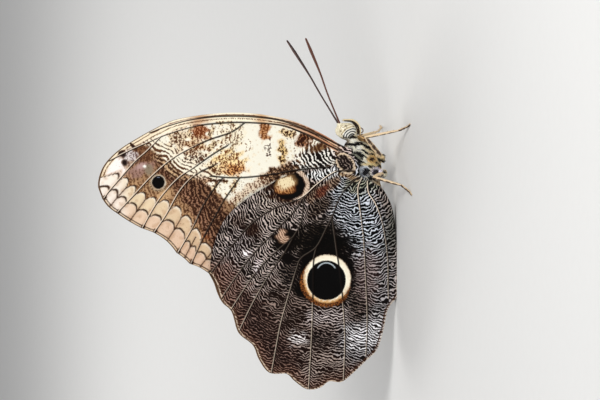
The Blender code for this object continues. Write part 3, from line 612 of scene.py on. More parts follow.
class Graph:
    """A material's node tree, with short calls for the nodes it uses most."""

    def __init__(self, name):
        self.material = bpy.data.materials.new(name)
        self.material.use_nodes = True
        self.tree = self.material.node_tree
        self.shader = self.tree.nodes["Principled BSDF"]

    def new(self, kind, inputs, **settings):
        made = self.tree.nodes.new("ShaderNode" + kind)
        for key, value in settings.items():
            setattr(made, key, value)
        for key, value in inputs.items():
            if isinstance(value, bpy.types.NodeSocket):
                self.tree.links.new(value, made.inputs[key])
            else:
                made.inputs[key].default_value = value
        return made

    def read(self, name, out="Vector"):
        return self.new("Attribute", {}, attribute_name=name).outputs[out]

    def parts(self, vector):
        return self.new("SeparateXYZ", {0: vector}).outputs

    def math(self, operation, *values):
        return self.new("Math", dict(enumerate(values)), operation=operation).outputs[0]

    def add(self, *values):
        total = values[0]
        for value in values[1:]:
            total = self.math("ADD", total, value)
        return total

    def times(self, a, b):
        return self.math("MULTIPLY", a, b)

    def swing(self, noise, amount):
        """A noise as a shift either way."""
        return self.times(self.add(noise, -0.5), amount)

    def wave(self, value, period):
        return self.math("SINE", self.times(value, 2 * math.pi / period))

    def step(self, value, low, high):
        made = self.new("MapRange", {0: value, 1: low, 2: high, 3: 0.0, 4: 1.0},
                        interpolation_type="SMOOTHSTEP")
        return made.outputs[0]

    def noise(self, vector, scale, detail=2.0):
        made = self.new("TexNoise", {"Vector": vector, "Scale": scale, "Detail": detail})
        return made.outputs["Fac"]

    def mix(self, weight, first, second):
        def colour(value):
            return value if isinstance(value, bpy.types.NodeSocket) else (*linear(value), 1.0)
        made = self.new("Mix", {0: weight, 6: colour(first), 7: colour(second)}, data_type="RGBA")
        return made.outputs[2]

    def speckle(self, colour, grain, amount, lowest):
        """The colour made darker and lighter by a fine noise."""
        value = self.add(self.times(grain, amount), lowest)
        return self.new("HueSaturation", {"Color": colour, "Value": value}).outputs[0]

    def distance(self, vector, centre):
        away = self.new("VectorMath", {0: vector, 1: (centre[0], centre[1], 0.0)}, operation="SUBTRACT")
        return self.new("VectorMath", {0: away.outputs[0]}, operation="LENGTH").outputs[1]

    def eyespot(self, colour, place, fine, grain, spot):
        """A black pupil with glints in a pale ring, whose rim is brown behind and above."""
        pupil_at, pupil, ring_at, ring, rim, (rim_shade, ring_shade, warm_shade, glint_shade) = spot
        x, z, _ = self.parts(place)
        ragged = self.add(self.swing(fine, 0.5), self.swing(grain, 1.2))
        around = self.add(self.distance(place, ring_at), ragged)
        away = self.add(self.distance(place, pupil_at), self.times(ragged, 0.6))
        # The rim, wider and scorched behind and above.
        back = self.add(self.times(x, -1.0 / ring), self.times(z, 0.45 / ring),
                        (ring_at[0] - 0.45 * ring_at[1]) / ring)
        rear = self.step(back, -0.35, 0.75)
        outer = self.math("SUBTRACT", around, self.times(rear, rim))
        scorched = self.mix(self.step(self.noise(place, 3.5, 3.0), 0.38, 0.56), rim_shade, (56, 30, 16))
        colour = self.mix(self.step(outer, ring + 0.2, ring - 0.25), colour, scorched)
        # The ring, warmer towards the rim.
        edge = self.add(around, self.swing(fine, 1.8))
        warm = self.times(self.step(edge, ring - 1.5, ring - 0.2), self.add(self.times(rear, 0.8), 0.2))
        ringed = self.mix(warm, ring_shade, warm_shade)
        colour = self.mix(self.step(around, ring + 0.1, ring - 0.35), colour, ringed)
        colour = self.mix(self.step(away, pupil + 0.12, pupil - 0.16), colour, (4, 3, 3))
        # The glints: an arc at the front of the pupil and a spark beside it.
        glint = (pupil_at[0] + 0.36 * pupil, pupil_at[1])
        arc = self.math("ABSOLUTE", self.add(self.distance(place, glint), -0.53 * pupil))
        ahead = self.math("SUBTRACT", x, pupil_at[0] + 0.56 * pupil)
        lit = self.times(self.step(arc, 0.045 * pupil, 0.015 * pupil), self.step(ahead, 0.0, 0.1 * pupil))
        lit = self.times(lit, self.step(grain, 0.3, 0.5))
        colour = self.mix(self.times(lit, 0.8), colour, glint_shade)
        spark = (pupil_at[0] + 0.6 * pupil, pupil_at[1] - 0.25 * pupil)
        return self.mix(self.step(self.distance(place, spark), 0.06 * pupil, 0.02 * pupil), colour, WHITE)

    def finish(self, colour, roughness, height=None, depth=0.0, **settings):
        """Links colour and relief, whose height is in millimetres, to the shader."""
        self.tree.links.new(colour, self.shader.inputs["Base Color"])
        if isinstance(roughness, bpy.types.NodeSocket):
            self.tree.links.new(roughness, self.shader.inputs["Roughness"])
        else:
            self.shader.inputs["Roughness"].default_value = roughness
        for key, value in settings.items():
            self.shader.inputs[key.replace("_", " ")].default_value = value
        if height is not None:
            bump = self.new("Bump", {"Height": height, "Strength": 1.0, "Distance": depth * MM})
            self.tree.links.new(bump.outputs[0], self.shader.inputs["Normal"])
        return self.material


# Where the wings lie.


def margin(start, spans, step):
    """An outer margin from start through the vein ends, drawn in between each two of them."""
    points = [np.array(start, float)]
    for end, sag in spans:
        a, b = points[-1], np.array(end, float)
        along = b - a
        inward = np.array((along[1], -along[0])) / np.linalg.norm(along)
        count = max(2, int(round(np.linalg.norm(along) / step)))
        for k in range(1, count + 1):
            t = k / count
            points.append(a + along * t - inward * sag * math.sin(math.pi * t))
    return np.array(points)


def fore_outline(step):
    outer = margin(FORE_COSTA[-1], FORE_MARGIN, step)
    return np.vstack([curve(FORE_COSTA, step), outer[1:], curve(FORE_INNER, step * 1.6)[1:]])


def hind_outline(step):
    outer = curve(HIND_MARGIN, step)
    return np.vstack([curve(HIND_COSTA, step), outer[1:], curve(HIND_INNER, step * 1.3)[:-1]])


def body_swell(x, z, spread):
    """How much further out than spread a wing lies to pass over the body."""
    middle, high, wide = body_at(x)
    need = np.maximum(wide + OVER_BODY - spread, 0) * ramp(x, -27.0, -18.0) * fade(x, 22.0, 30.0)
    return need * np.exp(-(((z - middle) / (1.15 * np.maximum(high, 2.2))) ** 2))


def fore_place(x, z):
    """Distance of the forewing's middle layer from the plane of symmetry."""
    spread = FORE_SPREAD + FORE_TIP_SPREAD * ramp(z, 56.0, 92.0)
    return spread + body_swell(x, z, spread)


def hind_place(x, z):
    """Distance of the hindwing's middle layer from the plane of symmetry."""
    (ax, az), (bx, bz) = FORE_INNER[-1], FORE_INNER[0]
    length = math.hypot(bx - ax, bz - az)
    past_edge = ((x - ax) * (bz - az) - (z - az) * (bx - ax)) / length
    alone = HIND_SPREAD + body_swell(x, z, HIND_SPREAD)
    over = np.maximum(fore_place(x, z) + OVER_FOREWING, alone) - alone
    return alone + over * ramp(past_edge, -6.0, -1.0)


def lobe_rise(x, z):
    """The bulge of the hindwing's shoulder, outwards only."""
    (cx, cz), radius, rise = LOBE
    away = np.hypot(x - cx, z - cz) / radius
    return rise * np.clip(1 - away**2, 0, 1)


def spans(here, lines):
    """Each span of each polyline: which it is, its ends, and each place's nearest share and distance."""
    for number, line in enumerate(lines):
        for i, (a, b) in enumerate(zip(line[:-1], line[1:])):
            t = np.clip((here - a) @ (b - a) / max((b - a) @ (b - a), 1e-9), 0, 1)
            yield number, i, a, b, t, norms(here - a - t[:, None] * (b - a))


def distance_to(here, lines):
    """Distance of each place from the nearest of the polylines."""
    best = np.full(len(here), np.inf)
    for *_, away in spans(here, lines):
        best = np.minimum(best, away)
    return best


def nearest_vein(here, lines):
    """Distance to the nearest vein, its number, the share of its length there, and the side."""
    best = np.full(len(here), np.inf)
    side = np.ones(len(here))
    which = np.zeros(len(here), int)
    share = np.zeros(len(here))
    for number, i, a, b, t, away in spans(here, lines):
        nearer = away < best
        best[nearer] = away[nearer]
        which[nearer] = number
        share[nearer] = (i + t[nearer]) / (len(lines[number]) - 1)
        turn = (b[1] - a[1]) * (here[:, 0] - a[0]) - (b[0] - a[0]) * (here[:, 1] - a[1])
        side[nearer] = np.sign(turn[nearer])
    return best, which, share, side


def inside(here, outline):
    """True for each place inside the closed outline."""
    found = np.zeros(len(here), bool)
    for (ax, az), (bx, bz) in zip(outline, np.roll(outline, -1, axis=0)):
        crosses = (az > here[:, 1]) != (bz > here[:, 1])
        rise = bz - az if bz != az else 1.0
        at = ax + (here[:, 1] - az) / rise * (bx - ax)
        found ^= crosses & (here[:, 0] < at)
    return found


# What is painted on the wings.


def mottle(x, z, size, seed):
    """A smooth irregular field between about -1 and 1 with blotches of the given size."""
    rng = np.random.default_rng(seed)
    made = np.zeros(len(x))
    for _ in range(9):
        turn = rng.uniform(0, 2 * math.pi)
        pitch = 2 * math.pi / (size * rng.uniform(1.2, 3.2))
        made += np.sin(pitch * (x * math.cos(turn) + z * math.sin(turn)) + rng.uniform(0, 6.3))
    return made / 3.6


class Paints:
    """A pale and a dark paint for each place, and how far the pale one wins there."""

    def __init__(self, count, pale, dark, balance):
        self.pale = np.tile(linear(pale), (count, 1))
        self.dark = np.tile(linear(dark), (count, 1))
        self.balance = np.full(count, balance)

    def lay(self, weight, pale=None, dark=None, balance=None):
        w = np.clip(weight, 0, 1)
        if pale is not None:
            self.pale += (linear(pale) - self.pale) * w[:, None]
        if dark is not None:
            self.dark += (linear(dark) - self.dark) * w[:, None]
        if balance is not None:
            self.balance += (balance - self.balance) * w


class Canvas(Paints):
    """The paints of one wing, with how far each place is from the costa, the outer margin and a vein."""

    def __init__(self, x, z, costa, rim, vein):
        super().__init__(len(x), CREAM, BROWN, 1.0)
        self.x, self.z, self.costa, self.rim, self.vein = x, z, costa, rim, vein
        self.here = np.column_stack((x, z))
        self.rough = mottle(x, z, 1.6, 3) + 0.6 * mottle(x, z, 0.8, 4)

    def blob(self, centre, half, turn, soft, ragged):
        """Weight of an oval patch, its first half width along a line turned from +X to +Z."""
        a = math.radians(turn)
        dx, dz = self.x - centre[0], self.z - centre[1]
        u, v = dx * math.cos(a) + dz * math.sin(a), dz * math.cos(a) - dx * math.sin(a)
        return fade(np.hypot(u / half[0], v / half[1]) + ragged * self.rough, 1 - soft, 1 + soft)

    def stroke(self, points, half, soft, ragged):
        """Weight of a stroke along a smooth way."""
        away = distance_to(self.here, [curve(points, 1.0)]) / half
        return fade(away + ragged * self.rough, 1 - soft, 1 + soft)

    def marks(self, rows, over=1.0):
        """Lays a table's marks in turn, over the whole wing or a weight."""
        for where, half, turn, soft, ragged, pale, dark, balance, *strength in rows:
            if isinstance(half, tuple):
                weight = self.blob(where, half, turn, soft, ragged)
            else:
                weight = self.stroke(where, half, soft, ragged)
            self.lay(weight * over * math.prod(strength), pale, dark, balance)


def paint_shaded_half(c):
    """Arcs, then the shaded outer half. Gives the distance past its start and three weights."""
    x, z = c.x, c.z
    edge = curve(SHADE_EDGE, 1.0, 5)
    beyond = distance_to(c.here, [edge]) * np.sign(z - np.interp(x, edge[:, 0], edge[:, 1]))
    lines = np.sin(2 * math.pi * (beyond + 0.5 * mottle(x, z, 5.0, 6) + 0.18 * mottle(x, z, 1.6, 16)) / 1.15)
    arcs = ramp(beyond, -6.0, -2.4) * ramp(x, 9.0, 12.0) * fade(beyond, -0.2, 0.3)
    c.lay(arcs * 0.8, (240, 231, 208), (80, 50, 32), 0.12)
    c.balance += arcs * (0.75 * lines + 0.1 - 0.5 * ramp(beyond, -2.4, -0.8) * ramp(z, 62.0, 67.0))
    beyond = beyond + 0.3 * c.rough
    outer = ramp(beyond, -0.4, 0.4)
    c.lay(outer, (160, 124, 90), (92, 60, 38), 0.1)
    c.marks(FORE_SHADE, outer)
    first = outer * fade(beyond, 1.8, 2.8) * ramp(x, 9.0, 12.0)
    c.lay(first * 0.85, (204, 170, 130), (62, 36, 22), -0.05)
    c.balance += first * 0.55 * lines
    return beyond, outer, arcs, first


def paint_leading_edge(c):
    """A few smooth lines along the leading edge, redder towards the root. Gives their weight."""
    z, costa = c.z, c.costa
    width = np.interp(z, (70, 82), (2.3, 0.9))
    strip = fade(costa, width, width + 0.3) * ramp(z, 16.0, 20.0)
    redder = fade(z, 22.0, 44.0)
    c.lay(strip, (246, 236, 208), (120, 82, 54), 0.0)
    c.lay(strip * redder, (190, 132, 96), (64, 34, 20), 0.0)
    c.lay(strip * redder * fade(np.abs(costa - 1.15), 0.12, 0.3), (236, 208, 170))
    c.lay(strip * ramp(z, 62.0, 80.0) * 0.8, (232, 212, 180), (104, 68, 44), 0.0)
    c.lay(strip * 0.8 * np.exp(-(((z - 60.4) / 3.4) ** 2)), (184, 132, 88), (96, 58, 34))
    c.lay(strip * 0.8 * np.exp(-(((z - 41.4) / 2.2) ** 2)), (196, 148, 100), (104, 64, 38))
    lines = np.sin(2 * math.pi * costa / (1.05 - 0.3 * redder) + 0.7)
    c.balance += strip * (0.75 * lines + 0.3 - 0.2 * redder)
    return strip


def paint_cells(c, outer):
    """Two rows of pale cells along the outer margin, parted by the veins and by folds between them."""
    x, z, rim = c.x, c.z, c.rim
    ending = [curve(line, 1.5) for name, line in FORE_VEINS.items() if name not in ("cell_end", "subcosta")]
    near_two = np.sort([distance_to(c.here, [line]) for line in ending], axis=0)[:2]
    fold = np.where(near_two.sum(axis=0) > 4.4, (near_two[1] - near_two[0]) / 2, 9.0)
    bow = 1 - (1 - np.clip(np.minimum(c.vein, fold) / 1.7, 0, 1)) ** 2
    deep = np.interp(z, (54.0, 61.0, 67.5, 74.0, 84.0, 89.0), (0.75, 1.22, 1.4, 1.28, 1.28, 0.95))
    inner = deep * (5.6 + 1.9 * bow) + 0.3 * mottle(x, z, 4.0, 8)
    middle = deep * (2.7 + 1.2 * bow)
    cells = fade(rim, inner - 0.05, inner + 0.1)
    near = cells * fade(rim, middle, middle + 0.1)
    tan = ramp(rim, inner, inner + 0.3) * fade(rim, inner + 0.9, inner + 2.0)
    c.lay(tan * outer * ramp(z, 56.0, 60.0) * 0.55, (196, 156, 114), (124, 84, 54), 0.15)
    c.lay(cells, (226, 206, 172), (158, 124, 90), 0.5)
    c.lay(cells * fade(z, 62.0, 82.0) * 0.7, (206, 174, 140), (140, 100, 70), 0.45)
    c.lay(near * 0.6, (220, 186, 164), (156, 112, 90), 0.4)
    c.lay(cells * ramp(z, 80.0, 86.5) * 0.85, (243, 233, 222), (196, 164, 140), 0.6)
    c.lay(cells * ramp(rim, inner - 1.3, inner - 0.15) * 0.85, (248, 238, 220))
    c.lay(near * ramp(rim, middle - 1.0, middle - 0.15) * 0.7, (244, 230, 208))
    c.lay(cells * (1 - bow) * 0.5, (164, 122, 88))
    c.lay(cells * ramp(mottle(x, z, 1.4, 31), 0.2, 0.9) * 0.5, (192, 154, 122), (128, 90, 62), 0.2)
    c.lay(fade(rim, 0.0, 0.8) * 0.8, (214, 188, 154), BROWN, 0.5)
    ends = fade(c.vein, 0.35, 0.7) * fade(rim, 0.8, 1.3)
    c.lay(ends * ramp(z, 56.0, 60.0), (52, 34, 24), (36, 22, 16), -0.8)
    arcs = np.minimum(np.abs(rim - inner), np.abs(rim - middle))
    c.lay(fade(arcs, 0.2, 0.5) * outer * 0.8, UMBER, UMBER)
    ink = np.minimum(arcs, np.where(rim < inner, fold + 0.06, 9.0))
    return cells, np.minimum(ink, np.abs(rim - 0.5) + 0.06)


def paint_forewing(c):
    """The forewing. Gives the distance from its ink lines, and how far ripples and specks show."""
    x, z = c.x, c.z
    c.lay(np.ones(len(x)), (238, 233, 216), (132, 92, 60), 0.7)
    c.lay(np.where((mottle(x, z, 0.7, 21) > 0.9) & (z < 58), 0.8, 0.0), (222, 206, 176), (120, 84, 54), 0.45)
    c.balance += 0.6 * c.blob((19.0, 41.0), (9.0, 8.0), 0, 0.3, 0.2)
    blotches = ramp(mottle(x, z, 2.0, 12), 0.1, 0.6) * ramp(z, 46.5, 49.0)
    c.lay(blotches * 0.85, (228, 204, 160), (74, 44, 24), -0.08)
    c.marks(FORE_FIELD)
    beyond, outer, arcs, first = paint_shaded_half(c)
    c.marks(FORE_OUTER)
    strip = paint_leading_edge(c)
    cells, ink = paint_cells(c, outer)
    c.marks(FORE_SPOTS)
    calm = (1 - 0.85 * np.clip(cells, 0, 1)) * (1 - 0.97 * strip)
    banded = fade(z, 26.0, 34.0)
    ripple = (0.4 + 0.65 * banded) * calm * (1 - 0.8 * arcs) * (1 - 0.6 * first)
    speckled = (0.5 + 0.35 * (1 - outer) * (1 - banded)) * calm * (1 - 0.6 * arcs) + 0.3 * cells
    return np.where((beyond > 1.0) & (c.rim < 12.5), ink, 9.0), ripple, speckled


def paint_upper_eyespot(c):
    """A pale spot with orange behind it in a black oval, half ringed with tan. Gives its weight."""
    (cx, cz), (half_x, half_z) = UPPER_EYESPOT
    c.lay(c.blob((cx, cz), (5.4, 7.2), 0, 0.3, 0.2), (120, 92, 70), (32, 14, 8), -0.42)
    out = np.hypot((c.x - cx) / half_x, (c.z - cz) / half_z) + 0.02 * c.rough
    rear = ramp(cz - c.z, 0.2, 2.2) * ramp(c.x, cx - 5.0, cx - 2.6)
    c.lay(fade(np.abs(out - 1.18), 0.1, 0.17) * rear, (212, 188, 164), (146, 118, 100), 0.65)
    c.lay(fade(np.abs(out - 1.36), 0.02, 0.06) * rear, BLACK, BLACK, -0.9)
    c.lay(fade(out, 0.95, 1.03), (7, 5, 4), (7, 5, 4), -1.0)
    c.marks((
        ((cx - 0.8, cz + 1.0), (2.1, 3.3), 12, 0.12, 0.1, (190, 134, 80), (98, 54, 26), 0.0),
        ((cx + 0.9, cz + 0.8), (1.9, 3.0), 12, 0.35, 0.12, (232, 214, 174), (172, 130, 84), 0.42),
    ))
    return fade(out, 0.9, 1.0)


def paint_shoulder(c):
    """An oval with a thin pale rim and dark streaks. Gives its weight."""
    dx, dz = c.x - 15.2, c.z - 16.4
    u, v = dx * 0.8 + dz * 0.6, dz * 0.8 - dx * 0.6
    oval = np.hypot(u / 3.9, v / 2.25) + 0.03 * c.rough
    shoulder = fade(oval, 1.04, 1.12)
    c.lay(shoulder, (140, 122, 112), (22, 13, 10), -0.5)
    c.balance += shoulder * 0.9 * np.sin(2 * math.pi * v / 0.8 + 1.3 * c.rough + 0.5 * u)
    c.lay(fade(np.abs(oval - 0.9), 0.05, 0.1) * 0.95, (222, 200, 168), (176, 146, 112), 1.1)
    return shoulder


def paint_hindwing(c):
    """The hindwing. Gives the distance from its ink line, and how far ripples and specks show."""
    x, z = c.x, c.z
    c.lay(np.ones(len(x)), (196, 180, 172), (14, 7, 5), -0.22)
    c.marks(HIND_GROUND)
    dx, dz = x - HIND_ROOT[0], z - HIND_ROOT[1]
    c.balance += 0.2 * mottle(0.5 * np.hypot(dx, dz), 40 * np.arctan2(dz, -dx), 2.2, 17)
    c.marks(HIND_FRONT)
    c.lay(fade(c.rim, 0.8, 4.5) * 0.6, (156, 118, 100), (36, 16, 9), -0.2)
    c.marks(HIND_REAR)
    # The dark fold over the abdomen.
    c.lay(fade(z + 0.28 * x, 0.6, 4.4) * ramp(x, -14.0, -6.0), (140, 138, 130), (7, 5, 3), -0.2)
    c.marks(HIND_MIDDLE)
    # The shade round the large eyespot, black next to it.
    away = np.hypot(x - LARGE_EYESPOT[2][0], z - LARGE_EYESPOT[2][1])
    shade = fade(away + 0.7 * c.rough, 8.0, 12.0) * (0.25 + 0.55 * ramp(x, -26.0, -18.0))
    c.lay(shade, (104, 88, 78), (6, 2, 1), -0.42)
    reach = np.interp(z, (14.0, 24.0), (8.8, 10.6))
    black = fade(away + 0.4 * c.rough - reach, -0.6, 0.8) * ramp(x - 0.2 * z, -32.6, -29.2)
    c.lay(black, (40, 30, 24), (4, 2, 1), -0.8)
    c.marks(HIND_SMALL)
    # Brown with a rust patch behind the vein by the upper eyespot.
    behind = c.stroke(((5.0, 26.6), (7.6, 22.4), (10.0, 19.0)), 1.7, 0.4, 0.2)
    c.lay(behind, (168, 142, 120), (34, 19, 13), -0.12)
    c.lay(c.blob((6.8, 23.2), (1.3, 2.6), 40, 0.4, 0.25), (128, 74, 54), (52, 22, 14), -0.1)
    spot = paint_upper_eyespot(c)
    # White streaks between the upper eyespot and the shoulder, and tan hair behind the shoulder.
    c.lay(c.blob((11.9, 22.6), (1.5, 4.8), 6, 0.4, 0.2), (240, 240, 238), BLACK, 0.02)
    c.lay(c.blob((11.4, 15.0), (0.9, 3.0), -20, 0.4, 0.3), (170, 142, 108), (66, 44, 28), 0.1)
    shoulder = paint_shoulder(c)
    c.lay(fade(c.rim, 0.1, 0.4) * 0.85, (222, 202, 176), BROWN, 0.9)
    ripple = (1 - 0.6 * spot) * (1 - 0.95 * shoulder) * (1 - 0.5 * behind)
    return np.abs(c.rim - 0.62) + 0.04, ripple, 0.2 + 0.3 * (1 - ripple)


def wing_material(name, spot, period):
    """Wing scales: cross ripples between two painted colours, veins with painted shade on one side and a
    painted highlight on the other, thin lines and an eyespot.
    """
    g = Graph(name)
    place = g.read("place")
    radial, vein, balance = g.parts(g.read("field"))
    ink, vein_tone_and_highlight, inner = g.parts(g.read("line"))
    ripple, beside, speckled = g.parts(g.read("texture"))
    fine = g.noise(place, 1.3, 2.0)
    grain = g.noise(place, 7.0, 3.0)
    # Ripples across the wing, bent by the noise and at the veins.
    phase = g.add(radial, g.times(g.noise(place, 0.42, 1.0), 2.4), g.times(fine, 0.95 * period),
                  g.times(g.math("MINIMUM", vein, 1.8), -0.4))
    specks = g.times(g.times(g.add(g.noise(place, 2.4, 2.0), -0.5), speckled), 6.0)
    value = g.add(g.times(g.wave(phase, period), ripple), g.times(ripple, -0.3), g.times(balance, 1.5),
                  g.swing(fine, 1.3), g.swing(grain, 0.8), specks)
    colour = g.mix(g.step(value, -0.35, 0.35), g.read("dark", "Color"), g.read("pale", "Color"))
    # Ink lines, then the veins: painted shade along one side, and along the other a painted highlight as
    # strong as the vein's tone; veins of low tone are dark on both sides.
    colour = g.mix(g.times(g.step(ink, 0.36, 0.16), 0.9), colour, UMBER)
    lower = g.math("MAXIMUM", g.step(beside, 0.12, -0.04), g.math("SUBTRACT", 0.85, g.times(vein_tone_and_highlight, 2.0)))
    vein_line = g.times(g.step(vein, 0.32, 0.2), lower)
    colour = g.mix(g.times(vein_line, 0.88), colour, (30, 16, 10))
    lit = g.times(g.step(vein, 0.34, 0.24), g.step(beside, -0.02, 0.1))
    colour = g.mix(g.times(lit, vein_tone_and_highlight), colour, (226, 208, 186))
    # The eyespot, with the veins across it, then the veins' dark line with its painted shade once more.
    colour = g.eyespot(colour, place, fine, grain, spot)
    crossed = g.times(g.step(g.distance(place, spot[2]), spot[3] + 0.3, spot[3]), g.step(vein, 0.34, 0.18))
    colour = g.mix(g.times(crossed, 0.85), colour, (14, 9, 7))
    colour = g.mix(g.times(vein_line, 0.75), colour, (16, 10, 7))
    # The plain inner face.
    upper = g.mix(g.step(g.noise(place, 0.16, 2.0), 0.35, 0.65), (52, 40, 36), (70, 70, 92))
    upper = g.mix(g.step(radial, 38.0, 56.0), upper, (96, 70, 48))
    colour = g.speckle(g.mix(inner, colour, upper), grain, 0.5, 0.76)
    relief = g.add(grain, g.times(g.step(value, -0.6, 0.6), 0.8))
    return g.finish(colour, g.add(g.times(grain, 0.2), 0.55), relief, 0.03, Specular_IOR_Level=0.06)


# The wings.


def fine_plan(outline, lines):
    """The dense flat triangulation of a wing, with rails along each vein."""
    points = [tuple(p) for p in outline]
    count = len(points)
    edges = [(k, (k + 1) % count) for k in range(count)]
    closed = [np.vstack([outline, outline[:1]])]
    for line in lines:
        along = np.gradient(line, axis=0)
        along /= norms(along)[:, None]
        half = spread_over(VEIN_HALF_WIDTH, len(line))
        beside = np.column_stack((-along[:, 1], along[:, 0])) * half[:, None]
        for offset in RAILS:
            rail = line + beside * offset
            previous = None
            for p, keep in zip(rail, inside(rail, outline) & (distance_to(rail, closed) > RAIL_CLEARANCE)):
                if not keep:
                    previous = None
                    continue
                points.append(tuple(p))
                if previous is not None:
                    edges.append((previous, len(points) - 1))
                previous = len(points) - 1
    low, high = outline.min(axis=0), outline.max(axis=0)
    rows = int((high[1] - low[1]) / (SKIN_STEP * ROW_RATIO)) + 1
    columns = np.arange(low[0], high[0], SKIN_STEP)
    field = np.array([(x + SKIN_STEP / 2 * (row % 2), low[1] + row * SKIN_STEP * ROW_RATIO)
                      for row in range(rows) for x in columns])
    field = field[inside(field, outline)]
    field = field[distance_to(field, closed) > FIELD_CLEARANCE]
    away, _, share, _ = nearest_vein(field, lines)
    points += [tuple(p) for p in field[away > between(VEIN_HALF_WIDTH, share) + BESIDE_RAILS]]
    flat, _, triangles, *_ = delaunay_2d_cdt([Vector(p) for p in points], edges, [], 1, 1e-4)
    return np.array([tuple(p) for p in flat]), np.array([tuple(t) for t in triangles])


def vein_tone_and_highlight(kind, names, x, z):
    """How pale the nearest vein, given by its name, is at each place, from 0 to 1: the strength of the
    painted highlight on one side of it; where this is low, the vein is dark on both sides.
    """
    if kind == "forewing":
        return np.where(names == "cell_end", 0.0, 0.05 + 0.7 * ramp(z, 58.0, 67.0))
    tone = 0.1 + 0.3 * ramp(-x, 12.0, 30.0)
    tone = np.where((names == "costa") & (z > 19.0) & (z < 30.5), 0.9, tone)
    return np.where(np.isin(names, ("anal_1", "anal_2")), 0.35 + 0.55 * ramp(x, -2.0, 4.0), tone)


def wing_skin(kind, outline, margin_line, costa_line, veins, place, paint, root, lobe=None):
    """One wing's flat plan with its surfaces and colours, ready for either side."""
    lines = [curve(points, VEIN_STEP) for points in veins.values()]
    flat, triangles = fine_plan(outline, lines)
    x, z = flat.T
    vein, which, share, side = nearest_vein(flat, lines)
    ridge = np.cos(math.pi * np.clip(vein / between(VEIN_HALF_WIDTH, share), 0, 1))
    from_edge = distance_to(flat, [np.vstack([outline, outline[:1]])])
    sunk = FIELD_SINK * ramp(vein, 0.4, 2.6) * ramp(from_edge, 0.0, 1.5)
    half = MEMBRANE / 2 + between(VEIN_RISE, share) * 0.5 * (1 + ridge) - sunk
    middle = place(x, z)
    canvas = Canvas(x, z, distance_to(flat, [costa_line]), distance_to(flat, [margin_line]), vein)
    ink, ripple, speckled = paint(canvas)
    radial = np.hypot(x - root[0], z - root[1])
    radial *= 1 - 0.13 * ramp(np.arctan2(root[1] - z, root[0] - x), -0.1, 0.35)
    names = np.array(list(veins))[which]
    shown = np.where(names == "cell_end", vein + 0.5, vein)
    return {
        "name": kind, "flat": flat, "triangles": triangles, "inner": middle - half,
        "outer": middle + half + (lobe(x, z) if lobe else 0),
        "layers": {
            "pale": canvas.pale,
            "dark": canvas.dark,
            "field": np.column_stack((radial, shown, canvas.balance)),
            # The second texture value tells which side of its vein a place lies on: the side of painted
            # shade or of painted highlight.
            "texture": np.column_stack((ripple, side * np.minimum(vein, 1.0), speckled)),
            "line": np.column_stack((ink, vein_tone_and_highlight(kind, names, x, z), np.zeros(len(x)))),
        },
    }


def wing_map(flat, faces, rim_faces):
    """A place for each face corner: outer face, inner face beside it, and a narrow band round that."""
    low, high = flat.min(axis=0), flat.max(axis=0)
    unit = (flat - low) / (high - low).max()
    spots = np.concatenate([unit * 0.47 + (0.01, 0.01), unit * 0.47 + (0.51, 0.01)])
    corners = spots[faces.ravel()].reshape(len(faces), 3, 2)
    middle = unit.mean(axis=0) * 0.47
    shifted = (corners - (0.5, 0.0) - middle) * 1.006 + middle
    return np.where((rim_faces[:, None] & (faces >= len(flat)))[..., None], shifted, corners).reshape(-1, 2)


def add_wing(skin, side, material):
    """One wing from its skin: an outer face, an inner face and the rim between them."""
    flat, triangles = skin["flat"], skin["triangles"]
    count, way = len(flat), SIDES[side]
    points = np.concatenate([np.column_stack((flat[:, 0], way * skin[face], flat[:, 1]))
                             for face in ("outer", "inner")])
    edges = np.concatenate([triangles[:, (0, 1)], triangles[:, (1, 2)], triangles[:, (2, 0)]])
    known = {tuple(e) for e in edges}
    a, b = np.array([e for e in known if (e[1], e[0]) not in known]).T
    faces = np.concatenate([triangles, triangles[:, ::-1] + count, np.column_stack((b, a, a + count)),
                            np.column_stack((b, a + count, b + count))])
    if way > 0:
        faces = faces[:, ::-1]
    name = skin["name"] + "_" + side
    obj = add_mesh(name + "_skin", points, faces.tolist(), material)
    layers = {key: np.concatenate([values, values]) for key, values in skin["layers"].items()}
    layers["line"][count:, 2] = 1.0
    give(obj.data, place=np.column_stack((points[:, 0], points[:, 2], np.full(2 * count, way))), **layers)
    map_faces(obj.data, wing_map(flat, faces, np.arange(len(faces)) >= 2 * len(triangles)))
    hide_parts(name)


def make_wings():
    fore = wing_skin("forewing", fore_outline(EDGE_STEP), margin(FORE_COSTA[-1], FORE_MARGIN, MARGIN_STEP),
                     curve(FORE_COSTA, 1.0), FORE_VEINS, fore_place, paint_forewing, FORE_ROOT)
    hind = wing_skin("hindwing", hind_outline(EDGE_STEP), curve(HIND_MARGIN, MARGIN_STEP),
                     curve(HIND_COSTA, 1.0), HIND_VEINS, hind_place, paint_hindwing, HIND_ROOT, lobe_rise)
    small = wing_material("forewing_scales", SMALL_EYESPOT, 1.25)
    large = wing_material("hindwing_scales", LARGE_EYESPOT, 0.82)
    for side in SIDES:
        add_wing(fore, side, small)
        add_wing(hind, side, large)


# The body.


def merge_skin(name, pieces, voxel, smooth):
    """One closed skin over several closed pieces."""
    points, faces = [], []
    for own_points, own_faces in pieces:
        faces += [tuple(i + len(points) for i in face) for face in own_faces]
        points += own_points
    obj = outward(add_mesh(name, points, faces))
    remesh = obj.modifiers.new("merge", "REMESH")
    remesh.mode = "VOXEL"
    remesh.voxel_size = voxel * MM
    soften = obj.modifiers.new("soften", "SMOOTH")
    soften.factor = 0.5
    soften.iterations = smooth
    graph = bpy.context.evaluated_depsgraph_get()
    made = bpy.data.meshes.new_from_object(obj.evaluated_get(graph))
    obj.modifiers.clear()
    obj.data = made
    made.shade_smooth()
    return obj


